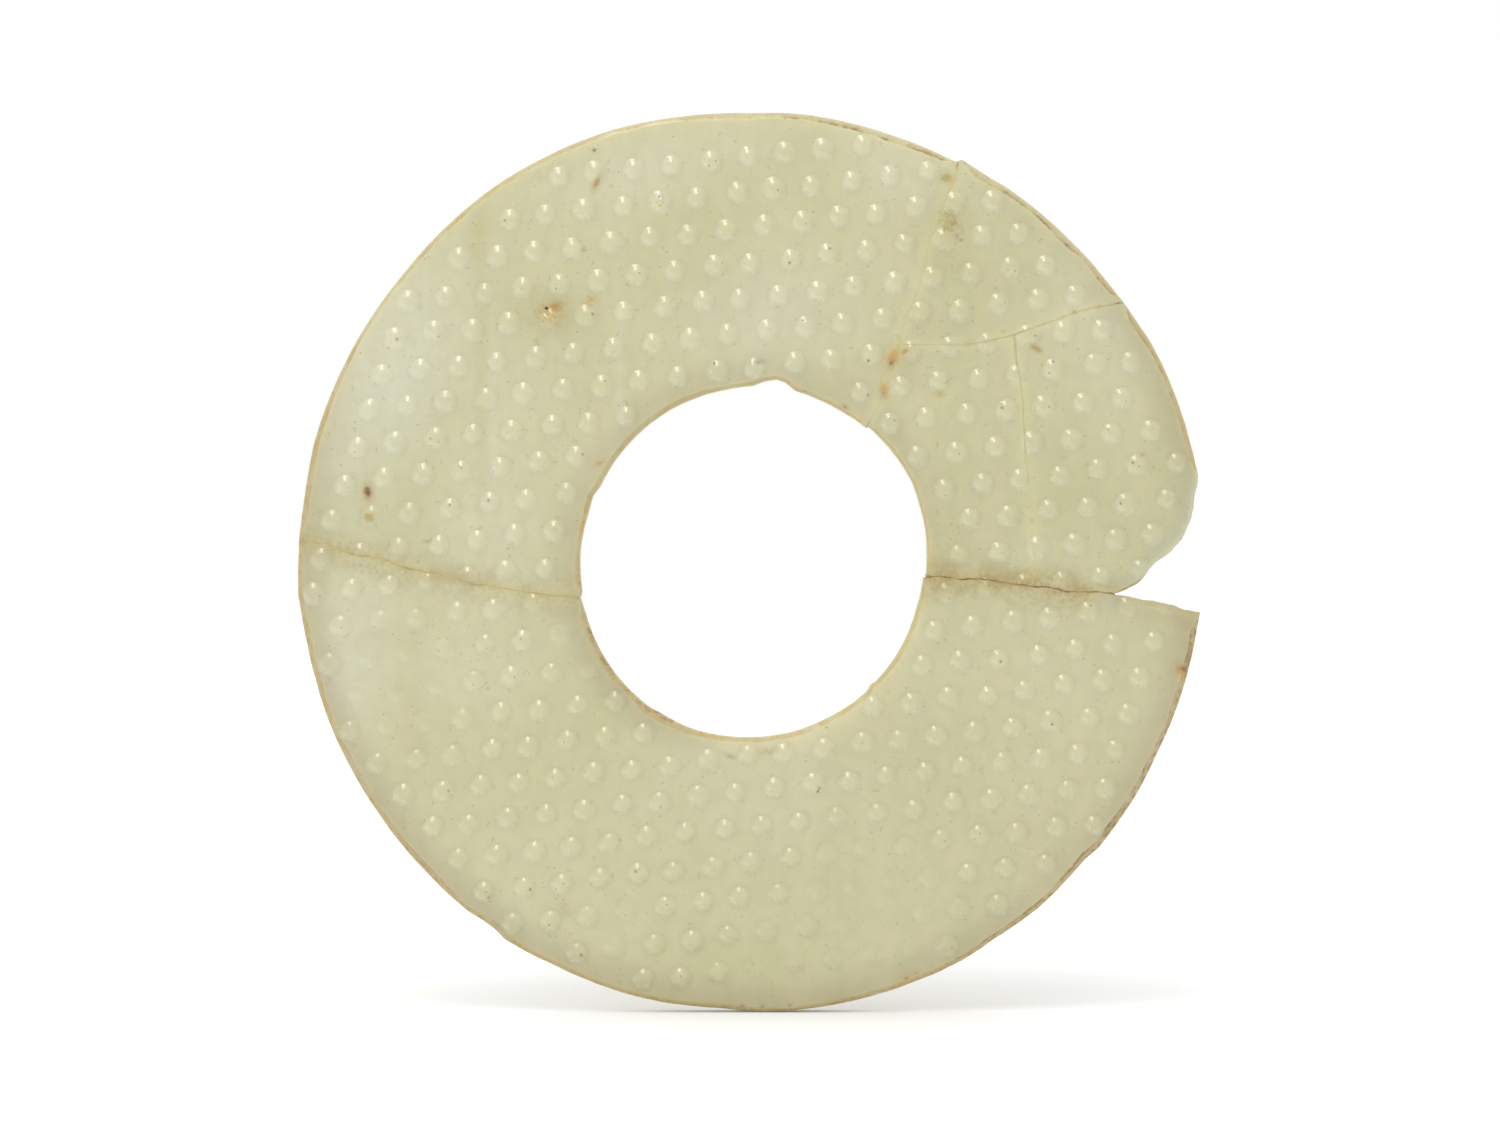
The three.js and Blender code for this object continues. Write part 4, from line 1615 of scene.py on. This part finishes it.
@dataclass(frozen=True)
class Domes:
    """Painted light and shade on the grain's domes: painted shade over the middle and upper side,
    and a ragged ring of painted light on the lower side.

    Attributes:
        upper: Where its upper side lies, from the lower side.
        outer: Where the ring of painted light starts, coming from outside.
        inner: Where it ends, coming from the centre.
        lower: How much painted light lies there, from the upper to the lower side.
    """

    shaded_top: tuple = ink(192, 190, 164)
    shaded_top_strength: float = 0.22
    middle: Ramp = Ramp(1.0, 0.5)
    upper: Ramp = Ramp(0.5, -0.1)
    painted_light_ring: tuple = ink(226, 226, 200)
    outer: Ramp = Ramp(1.3, 0.9)
    inner: Ramp = Ramp(0.2, 0.7)
    lower: Ramp = Ramp(-0.2, 0.7, 0.1, 0.9)
    ragged: Noise = Noise(1.9, 4.0, 0.7)
    broken: Ramp = Ramp(0.4, 0.7, 0.25, 0.75)

    def lay(self, paint: Paint) -> None:
        """Lays the layer on.

        Args:
            paint: The surface.
        """
        graph = paint.graph
        # Painted shade over each dome's middle and upper side
        shaded_top = graph.times(paint.read("boss_share", self.middle), paint.read("boss_lower_side", self.upper))
        paint.cover(graph.times(shaded_top, self.shaded_top_strength), self.shaded_top)
        # A ragged ring of painted light on each dome's lower side
        ring = graph.times(paint.read("boss_share", self.outer), paint.read("boss_share", self.inner))
        lower_side = graph.times(paint.read("boss_lower_side", self.lower), ring)
        painted_light_ring = graph.times(lower_side, paint.noise(self.ragged, self.broken), paint.read("boss_height"))
        paint.cover(painted_light_ring, self.painted_light_ring)


@dataclass(frozen=True)
class Breaks:
    """The thin edge of the lost chip, and the stains along the joins, the hairlines and the edges.

    Attributes:
        seam: What the colour is multiplied by where no light spreads beside a break.
        across: How the dirt's strength goes over from the left to the right.
        far_right: What its strength is multiplied by further right.
        dirt: The line that it follows, its reach and breakup, its strength left and right, its colour.
        side_crack: How it sets in with height, which leaves out the lower ones.
        from_top: How its strength goes over from the top crack to the side crack.
    """

    chip: tuple = ink(186, 188, 162)
    thin: Ramp = Ramp(3.4, 0.2, 0.0, 0.55)
    seam: tuple = (0.985, 0.97, 0.87, 1.0)
    across: tuple[float, float] = (-20.0, 15.0)
    far_right: Ramp = Ramp(42.0, 47.0, 1.0, 0.4)
    dirt: tuple = (
        ("join_gap", Grime(reach=3.4, breakup=0.45), (0.36, 0.68), ink(170, 147, 62)),
        ("join_gap", Grime(reach=1.0, breakup=0.6), (0.3, 0.5), ink(146, 119, 54)),
        ("edge_gap", Grime(reach=1.5, breakup=0.5), (0.2, 0.2), ink(191, 174, 118)),
    )
    hairline: Grime = Grime(reach=0.3, breakup=0.7)
    side_crack: Ramp = Ramp(66.5, 73.5)
    from_top: Ramp = Ramp(26.0, 34.0, 0.1, 0.26)
    hairline_dirt: tuple = ink(146, 119, 54)

    def lay(self, paint: Paint, deep: Socket) -> None:
        """Lays the layer on.

        Args:
            paint: The surface.
            deep: How freely light spreads in the glass, from 0 beside a break to 1.
        """
        graph = paint.graph
        right, _, up = graph.add("SeparateXYZ", {0: paint.place}).outputs
        paint.cover(paint.read("chip_gap", self.thin), self.chip)
        paint.colour = graph.mix(deep, graph.mix(1.0, paint.colour, self.seam, "MULTIPLY"), paint.colour)
        for line, grime, strengths, colour in self.dirt:
            held = paint.mask(grime, distance=paint.read(line))
            strength = graph.ramp(right, Ramp(*self.across, *strengths))
            strength = graph.times(strength, graph.ramp(right, self.far_right))
            paint.cover(graph.times(held, strength), colour)
        held = paint.mask(self.hairline, distance=paint.read("crack_gap"))
        seen = graph.times(graph.ramp(up, self.side_crack), graph.ramp(right, self.from_top))
        paint.cover(graph.times(held, seen), self.hairline_dirt)


@dataclass(frozen=True)
class Bevels:
    """The dirt in the bevels of the rim and the hole.

    Attributes:
        inner: How the dirt sets in from a bevel's inner edge.
        line_start: Where the line at the inner edge starts.
        line_left: How much the wear leaves of it.
    """

    tan: tuple = ink(191, 174, 118)
    worn: Cloud = Cloud(2.6, softness=0.4, shift=5.0)
    left: Ramp = Ramp(0.0, 0.8, 0.55, 1.0)
    inner: Ramp = Ramp(0.0, 0.35, 0.45, 1.0)
    gold: tuple = ink(198, 160, 62)
    lumps: Cloud = Cloud(0.9, softness=0.3, shift=71.0)
    golden: Ramp = Ramp(0.5, 0.9, 0.0, 0.4)
    soil: tuple = ink(146, 119, 54)
    line_start: Ramp = Ramp(0.0, 0.12)
    line_end: Ramp = Ramp(0.85, 0.3)
    line_left: Ramp = Ramp(0.1, 0.8, 0.25, 0.85)
    crust_start: Ramp = Ramp(0.3, 0.8)
    crust_lumps: Ramp = Ramp(0.0, 1.0, 0.3)
    crumb: Noise = Noise(1.8, 3.0, 0.6)
    crumbs: Ramp = Ramp(0.35, 0.65, 0.5, 1.3)

    def lay(self, paint: Paint) -> Socket:
        """Lays the layer on.

        Args:
            paint: The surface.

        Returns:
            Where the dirt lies.
        """
        graph = paint.graph
        worn, lumps = paint.mask(self.worn), paint.mask(self.lumps)
        band = graph.times(paint.read("soil"), graph.ramp(worn, self.left), paint.read("bevel", self.inner))
        paint.cover(band, self.tan)
        line = graph.times(paint.read("bevel", self.line_start), paint.read("bevel", self.line_end))
        line = graph.times(line, paint.read("line"), graph.ramp(worn, self.line_left))
        paint.cover(graph.times(band, graph.ramp(lumps, self.golden)), self.gold)
        crust = graph.times(paint.read("crust"), paint.read("bevel", self.crust_start))
        crust = graph.times(crust, graph.ramp(lumps, self.crust_lumps))
        caked = graph.times(graph.math("MAXIMUM", crust, line), paint.noise(self.crumb, self.crumbs))
        paint.cover(graph.ramp(caked, Ramp(0.0, 1.0)), self.soil)
        return band


@dataclass(frozen=True)
class Marks:
    """The stains of the face, each with a soft border and a ragged core, and its specks.

    Attributes:
        least: How much of the core is there where the noise is least.
        grain_share: How much more of them lie in the dusty patches, and how many elsewhere.
    """

    tints: tuple = ((OLIVE, ink(180, 168, 94)), (ORANGE, ink(198, 160, 62)), (BROWN, ink(122, 88, 30)))
    ragged: Noise = Noise(2.2, 4.0, 0.7)
    border: Ramp = Ramp(0.25, 0.7, 0.35, 0.8)
    least: float = 0.45
    core: Ramp = Ramp(0.4, 0.8)
    speck: tuple = ink(104, 92, 40)
    specks: Specks = Specks(1.7, 0.22)
    speck_strength: float = 0.65
    freckle: tuple = ink(180, 168, 94)
    freckles: Noise = Noise(1.1, 3.0, 0.6)
    freckled: Ramp = Ramp(0.64, 0.72, 0.0, 0.38)
    grains: Specks = Specks(0.9, 0.16, shift=9.0)
    grain_share: tuple[float, float] = (0.7, 0.17)
    grain_strength: float = 0.45

    def lay(self, paint: Paint) -> tuple[Socket, Socket]:
        """Lays the layer on.

        Args:
            paint: The surface.

        Returns:
            Where the larger and the smaller specks lie.
        """
        graph = paint.graph
        ragged = paint.noise(self.ragged)
        swing = graph.math("ADD", ragged, self.least)
        for tint, colour in self.tints:
            mask = paint.read(tint.value)
            border = graph.times(mask, graph.ramp(ragged, self.border))
            core = graph.ramp(graph.times(mask, swing), self.core)
            paint.cover(graph.math("MAXIMUM", border, core), colour)
        specks = paint.mask(self.specks)
        paint.cover(graph.times(specks, self.speck_strength), self.speck)
        paint.cover(paint.noise(self.freckles, self.freckled), self.freckle)
        many = graph.math("MULTIPLY_ADD", paint.read(DUST.value), *self.grain_share)
        grains = paint.mask(self.grains, share=many)
        paint.cover(graph.times(grains, self.grain_strength), self.speck)
        return specks, grains


@dataclass(frozen=True)
class MilkyGlass:
    """The finish of the milky pale green glass.

    Attributes:
        spread: How freely light spreads, from a break's edge into the glass.
        rough: How much the roughness varies, its level, and what dirt adds to it.
        grit_depth: How high the grit stands, and how deep the specks are sunk.
        bump: The relief's strength and its height.
    """

    body: Body = Body()
    domes: Domes = Domes()
    breaks: Breaks = Breaks()
    bevels: Bevels = Bevels()
    marks: Marks = Marks()
    spread: Ramp = Ramp(0.1, 1.6)
    spread_radius: tuple[float, float, float] = (1.0, 0.95, 0.75)
    spread_scale: float = 2.0 * MM
    sheen: Noise = Noise(0.3)
    rough: tuple[float, float, float] = (0.12, 0.15, 0.3)
    grit: Noise = Noise(2.6, 3.0, 0.6)
    grit_depth: tuple[float, float] = (0.9, -0.6)
    bump: tuple[float, float] = (0.5, 0.05 * MM)
    bend: float = 1.6
    shine: float = 1.0

    def material(self, effects: Effects) -> bpy.types.Material:
        """Builds the material.

        Args:
            effects: The shared node groups.

        Returns:
            The glass material.
        """
        made = bpy.data.materials.new("milky_glass")
        graph = Graph.of(made)
        paint = Paint(graph, effects, graph.place(), None)
        seam = graph.math("MINIMUM", paint.read("join_gap"), paint.read("crack_gap"))
        deep = graph.ramp(seam, self.spread)
        self.body.lay(paint)
        self.domes.lay(paint)
        self.breaks.lay(paint, deep)
        dirt = self.bevels.lay(paint)
        specks, grains = self.marks.lay(paint)
        swing, level, added = self.rough
        rough = graph.math("MULTIPLY_ADD", paint.noise(self.sheen), swing, level)
        rough = graph.math("MULTIPLY_ADD", graph.math("MAXIMUM", dirt, specks), added, rough)
        high, sunk = self.grit_depth
        relief = graph.times(graph.math("ADD", specks, grains), sunk)
        relief = graph.math("MULTIPLY_ADD", paint.noise(self.grit), high, relief)
        spreading = {
            "Subsurface Weight": deep,
            "Subsurface Radius": self.spread_radius,
            "Subsurface Scale": self.spread_scale,
        }
        others = {"IOR": self.bend, "Specular IOR Level": self.shine} | spreading
        paint.finish(rough, relief, self.bump, others)
        return made


@dataclass(frozen=True)
class OldAdhesive:
    """The finish of the browned adhesive.

    Attributes:
        glass: The colour that it fades into where a hairline can't be seen.
        cloud_share: How much that counts beside the film's own darkness.
        bump: The relief's strength and its height.
    """

    light: tuple = ink(197, 183, 122)
    brown: tuple = ink(158, 127, 62)
    dark: tuple = ink(108, 78, 36)
    glass: tuple = ink(206, 200, 158)
    clouds: Cloud = Cloud(3.2, softness=0.4)
    cloud_share: float = 0.5
    browning: Ramp = Ramp(0.15, 1.0)
    lumps: Cloud = Cloud(1.1, softness=0.3, shift=3.0)
    specks: Specks = Specks(1.2, 0.3, 0.4)
    grit: Noise = Noise(4.0, 4.0, 0.6)
    rough: Ramp = Ramp(0.2, 0.8, 0.5, 0.75)
    bump: tuple[float, float] = (0.6, 0.08 * MM)
    bend: float = 1.48

    def material(self, effects: Effects) -> bpy.types.Material:
        """Builds the material.

        Args:
            effects: The shared node groups.

        Returns:
            The adhesive material.
        """
        made = bpy.data.materials.new("old_adhesive")
        graph = Graph.of(made)
        paint = Paint(graph, effects, graph.place(), self.light)
        dark = paint.read("dark")
        shift = graph.math("MULTIPLY_ADD", paint.mask(self.clouds), self.cloud_share, dark)
        paint.cover(graph.ramp(shift, self.browning), self.brown)
        for darker in (self.lumps, self.specks):
            paint.cover(graph.times(paint.mask(darker), dark), self.dark)
        paint.cover(paint.read("fade"), self.glass)
        grit = paint.noise(self.grit)
        paint.finish(graph.ramp(grit, self.rough), grit, self.bump, {"IOR": self.bend})
        return made


@dataclass
class Studio:
    """The floor, the light and the camera.

    Attributes:
        floor_lift: What the floor shows besides the light on it, by the distance from the disc's shadow;
            it is least near the disc's foot, which paints a deeper shadow there.
        floor_foot: The middle of that painted shadow.
        view_width: The width of the photograph's frame at the face, in metres.
        key_place: Where the softbox hangs, from the disc's centre.
    """

    plan: Plan
    floor_size: float = 8.0
    floor_colour: tuple = (0.9, 0.9, 0.9, 1.0)
    floor_lift: Ramp = Ramp(0.0, 0.1, 0.05, 0.36)
    floor_foot: tuple[float, float, float] = (0.01, 0.028, 0.0)
    ambient: float = 0.91
    view_width: float = 0.19455
    lens: float = 100.0
    sensor: float = 36.0
    key_place: tuple[float, float, float] = (-0.07, -0.18, 0.335)
    key_size: tuple[float, float] = (0.1, 0.24)
    key_power: float = 0.27

    def floor(self) -> None:
        """Lays the floor at the disc's lowest point, lightened a little except near the disc's foot, where a
        deeper shadow is painted.
        """
        half = self.floor_size / 2.0
        mesh = bpy.data.meshes.new("floor")
        corners = [(-half, -half, 0.0), (half, -half, 0.0), (half, half, 0.0), (-half, half, 0.0)]
        mesh.from_pydata(corners, [], [(0, 1, 2, 3)])
        made = bpy.data.materials.new("plain_floor")
        graph = Graph.of(made)
        surface = graph.add("BsdfDiffuse", {"Color": self.floor_colour})
        spot = graph.add("TexCoord").outputs["Object"]
        # Painted shadow: the floor's glow is least near the disc's foot
        away = graph.vector("DISTANCE", spot, self.floor_foot).outputs["Value"]
        lift = graph.times(graph.plain_view(), graph.ramp(away, self.floor_lift))
        glow = graph.add("Emission", {"Strength": lift})
        both = graph.add("AddShader", {0: surface.outputs[0], 1: glow.outputs[0]})
        graph.end("OutputMaterial", both)
        mesh.materials.append(made)
        piece = placed("floor", mesh)

    def world(self) -> None:
        """Lights the scene evenly, and shows plain white where nothing is."""
        world = bpy.data.worlds.new("studio")
        bpy.context.scene.world = world
        graph = Graph.of(world)
        strength = graph.ramp(graph.plain_view(), Ramp(0.0, 1.0, self.ambient, 1.0))
        back = graph.add("Background", {"Color": (1.0, 1.0, 1.0, 1.0), "Strength": strength})
        graph.end("OutputWorld", back)

    def lamp(self) -> None:
        """Hangs the softbox over the disc, turned to its centre."""
        light = bpy.data.lights.new("softbox", "AREA")
        light.shape = "RECTANGLE"
        light.size, light.size_y = self.key_size
        light.energy = self.key_power
        light.color = (1.0, 1.0, 1.0)
        lamp = placed("softbox", light)
        aim = Vector((0.0, 0.0, self.plan.centre_height() * MM))
        lamp.location = aim + Vector(self.key_place)
        back = Vector(self.key_place).normalized()
        across = Vector((0.0, 1.0, 0.0)).cross(back).normalized()
        lamp.rotation_euler = Matrix((across, back.cross(across), back)).transposed().to_euler()

    def camera(self) -> None:
        """Sets the camera level with the disc's centre and square to its face."""
        data = bpy.data.cameras.new("camera")
        data.lens = self.lens
        data.sensor_width = self.sensor
        away = self.view_width * self.lens / self.sensor
        face = (self.plan.thickness - self.plan.grain_height) / 2.0 * MM
        camera = placed("camera", data)
        camera.location = (0.0, -face - away, self.plan.centre_height() * MM)
        camera.rotation_euler = (math.pi / 2.0, 0.0, 0.0)
        bpy.context.scene.camera = camera

    def build(self) -> None:
        """Sets up the whole studio."""
        bpy.context.scene.view_settings.view_transform = "Standard"
        self.floor()
        self.world()
        self.lamp()
        self.camera()


@dataclass
class BiDisc:
    """The whole disc: its plan, its breaks, its fragments and the adhesive between them.

    Attributes:
        dents: The unevenness of the rim and the hole.
    """

    plan: Plan = field(default_factory=Plan)
    join_gap: float = 0.13
    crack_gap: float = 0.04
    dents: dict = field(default_factory=lambda: {
        Edge.RIM: Ripple(41, 14.0, 0.05, 8), Edge.HOLE: Ripple(42, 11.0, 0.04, 8),
    })

    def __post_init__(self) -> None:
        """Draws the breaks, which the fragments and the films share."""
        self.face = Face(self.plan, Grain(self.plan))
        top_meets_side = (55.6, 0.32)
        side_meets_branch = (40.7, 0.63)
        right_meets_branch = (-4.8, 0.4)
        right_meets_chip = (-5, 0.69)
        left = [
            (177.2, 1), (177.6, 0.9), (178.6, 0.82), (179.8, 0.68), (181, 0.61), (182.2, 0.5),
            (183.1, 0.43), (184.9, 0.35), (186.3, 0.25), (188, 0.17), (189.7, 0.09), (191.6, 0),
        ]
        right = [
            (-4.8, 0), (-4.5, 0.11), (-4.3, 0.22), (-4.7, 0.29), right_meets_branch, (-5.2, 0.51),
            (-5, 0.61), right_meets_chip, (-5.2, 0.77), (-5.8, 0.9), (-6.3, 1),
        ]
        top = [
            (62.5, 1), (61.8, 0.94), (61.7, 0.86), (60.9, 0.76), (61, 0.71), (59.3, 0.6), (58.1, 0.51),
            (57.4, 0.41), top_meets_side, (54.4, 0.25), (51.6, 0.16), (48.8, 0),
        ]
        side = [
            (35, 1), (36.3, 0.93), (37.6, 0.84), (38.5, 0.77), side_meets_branch, (43.2, 0.53),
            (45, 0.48), top_meets_side,
        ]
        branch = [
            side_meets_branch, (37.5, 0.58), (34.3, 0.55), (29.1, 0.5), (21.9, 0.44), (17.4, 0.42),
            (8.6, 0.4), right_meets_branch,
        ]
        chip = [
            right_meets_chip, (-4.3, 0.73), (-3.1, 0.78), (-1.6, 0.8), (0, 0.84), (0.9, 0.88),
            (2.1, 0.91), (3.4, 0.94), (5.2, 0.97), (7.3, 0.99), (9.8, 1.01),
        ]
        path = self.plan.path
        self.left = Break(Edge.JOIN, path(left), self.join_gap, 0.13, 101)
        self.right = Break(Edge.JOIN, path(right), self.join_gap, 0.13, 102)
        self.top = Break(Edge.CRACK, path(top), self.crack_gap, 0.08, 103)
        self.side = Break(Edge.CRACK, path(side), self.crack_gap, 0.06, 104, (3.0, 0.8))
        self.branch = Break(Edge.CRACK, path(branch), self.crack_gap, 0.08, 105, (0.8, 0.8))
        self.chip = Break(Edge.CHIP, path(chip), 0.0, 0.1, 106, (1.0, 3.0))

    def round(self, edge: Edge, start: float, end: float, corner: Points) -> Stretch:
        """Draws a stretch of the rim or the hole, carried on past both of its ends.

        Args:
            edge: Which of the two.
            start: The angle where the stretch starts.
            end: The angle where it ends, lower than the start where it runs clockwise.
            corner: About where that is.

        Returns:
            The stretch.
        """
        plan = self.plan
        count, overrun, slack = 900, 3.0, 0.7
        extra = overrun if end > start else -overrun
        angle = np.linspace(start - extra, end + extra, count)
        span = (min(start, end) - slack, max(start, end) + slack)
        table, radius, outward = {
            Edge.RIM: (plan.rim, plan.disc_radius, -1.0),
            Edge.HOLE: (plan.hole, plan.hole_radius, 1.0),
        }[edge]
        points = polar(angle, radius * plan.share(table, angle, span) + outward * plan.inset)
        dent = np.abs(self.dents[edge].at(points))
        return Stretch(edge, points + polar(angle, outward * dent) + plan.centres()[edge], corner)

    def stretch(self, source: Break, forward: bool, end: Points) -> Stretch:
        """Takes one side of a break as a stretch of an outline, with the fragment on its left.

        Args:
            source: The break.
            forward: Whether the outline runs in the break's own direction.
            end: About where the stretch ends.

        Returns:
            The stretch.
        """
        points = source.side(left=forward)
        return Stretch(source.edge, points if forward else points[::-1], end)

    def outlines(self) -> dict[str, list[Stretch]]:
        """Lists the fragments' outlines.

        Returns:
            Each outline's stretches, counter-clockwise, by the name of the fragment's node.
        """
        left_rim, left_hole = self.left.path[[0, -1]]
        right_hole, right_rim = self.right.path[[0, -1]]
        top_rim, top_hole = self.top.path[[0, -1]]
        side_rim, top_side = self.side.path[[0, -1]]
        side_branch, right_branch = self.branch.path[[0, -1]]
        right_chip, chip_rim = self.chip.path[[0, -1]]
        return {
            "glass_upper_left": [
                self.round(Edge.RIM, 62.5, 177.2, left_rim),
                self.stretch(self.left, True, left_hole),
                self.round(Edge.HOLE, 191.2, 49.8, top_hole),
                self.stretch(self.top, False, top_rim),
            ],
            "glass_upper_right": [
                self.round(Edge.RIM, 35.0, 62.5, top_rim),
                self.stretch(self.top, True, top_side),
                self.stretch(self.side, False, side_rim),
            ],
            "glass_right_outer": [
                self.round(Edge.RIM, 9.8, 35.0, side_rim),
                self.stretch(self.side, True, side_branch),
                self.stretch(self.branch, True, right_branch),
                self.stretch(self.right, True, right_chip),
                self.stretch(self.chip, True, chip_rim),
            ],
            "glass_right_inner": [
                self.stretch(self.side, True, top_side),
                self.stretch(self.top, True, top_hole),
                self.round(Edge.HOLE, 49.8, -4.5, right_hole),
                self.stretch(self.right, True, right_branch),
                self.stretch(self.branch, False, side_branch),
            ],
            "glass_lower": [
                self.round(Edge.RIM, 177.2, 353.7, right_rim),
                self.stretch(self.right, False, right_hole),
                self.round(Edge.HOLE, -4.5, -168.6, left_hole),
                self.stretch(self.left, False, left_rim),
            ],
        }

    def fragments(self) -> list[Fragment]:
        """Lists the fragments.

        Returns:
            The fragments, ready to build.
        """
        joins = [self.left.path, self.right.path]
        cracks = [self.top.path, self.side.path, self.branch.path]
        return [
            Fragment(
                f"{name}_fine", name, self.face, stretches, joins, cracks, self.chip.path,
                soak=1.1 if name == "glass_lower" else 1.0,
            )
            for name, stretches in self.outlines().items()
        ]

    def films(self) -> list[Film]:
        """Lists the films of adhesive.

        Returns:
            The films, ready to build.
        """
        chip_start = self.chip.path[0]
        thin_overlap, thin_sunk = 0.006, 0.004
        made = [
            Film("left_join_adhesive", "adhesive_left_join", self.left, self.face, dark=0.05),
            Film("right_join_adhesive", "adhesive_right_join", self.right, self.face, stop=chip_start),
        ]
        for name, crack, dark, fading in (
            ("top", self.top, 0.1, ((0.0, 0.5), (0.15, 0.6), (0.25, 0.75), (0.5, 0.85), (1.0, 0.9))),
            ("side", self.side, 0.5, ((0.0, 0.1), (0.5, 0.25), (0.75, 0.5), (1.0, 0.8))),
            ("branch", self.branch, 0.4, ((0.0, 0.3), (0.4, 0.4), (0.6, 0.9), (1.0, 0.95))),
        ):
            piece, node = f"{name}_crack_adhesive", f"adhesive_{name}_crack"
            film = Film(piece, node, crack, self.face, dark=dark, fading=fading)
            made.append(replace(film, overlap=thin_overlap, sunk=thin_sunk))
        return made

    def build(self, glass: bpy.types.Material, adhesive: bpy.types.Material) -> None:
        """Builds every piece and puts it in the place of its node.

        Args:
            glass: The fragments' material.
            adhesive: The films' material.
        """
        for part, slot, finish in (
            *((fragment, Slot.GLASS, glass) for fragment in self.fragments()),
            *((film, Slot.ADHESIVE, adhesive) for film in self.films()),
        ):
            piece = part.build()
            piece.data.materials.append(finish)
            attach(piece, "root")
            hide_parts(part.node)
            log.info("%s: %d faces", part.name, len(piece.data.polygons))


def main() -> None:
    """Builds the studio and the disc."""
    logging.basicConfig(level=logging.INFO, format="%(name)s: %(message)s")
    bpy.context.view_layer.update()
    effects = Effects()
    disc = BiDisc()
    Studio(disc.plan).build()
    disc.build(MilkyGlass().material(effects), OldAdhesive().material(effects))


if __name__ == "__main__":
    main()
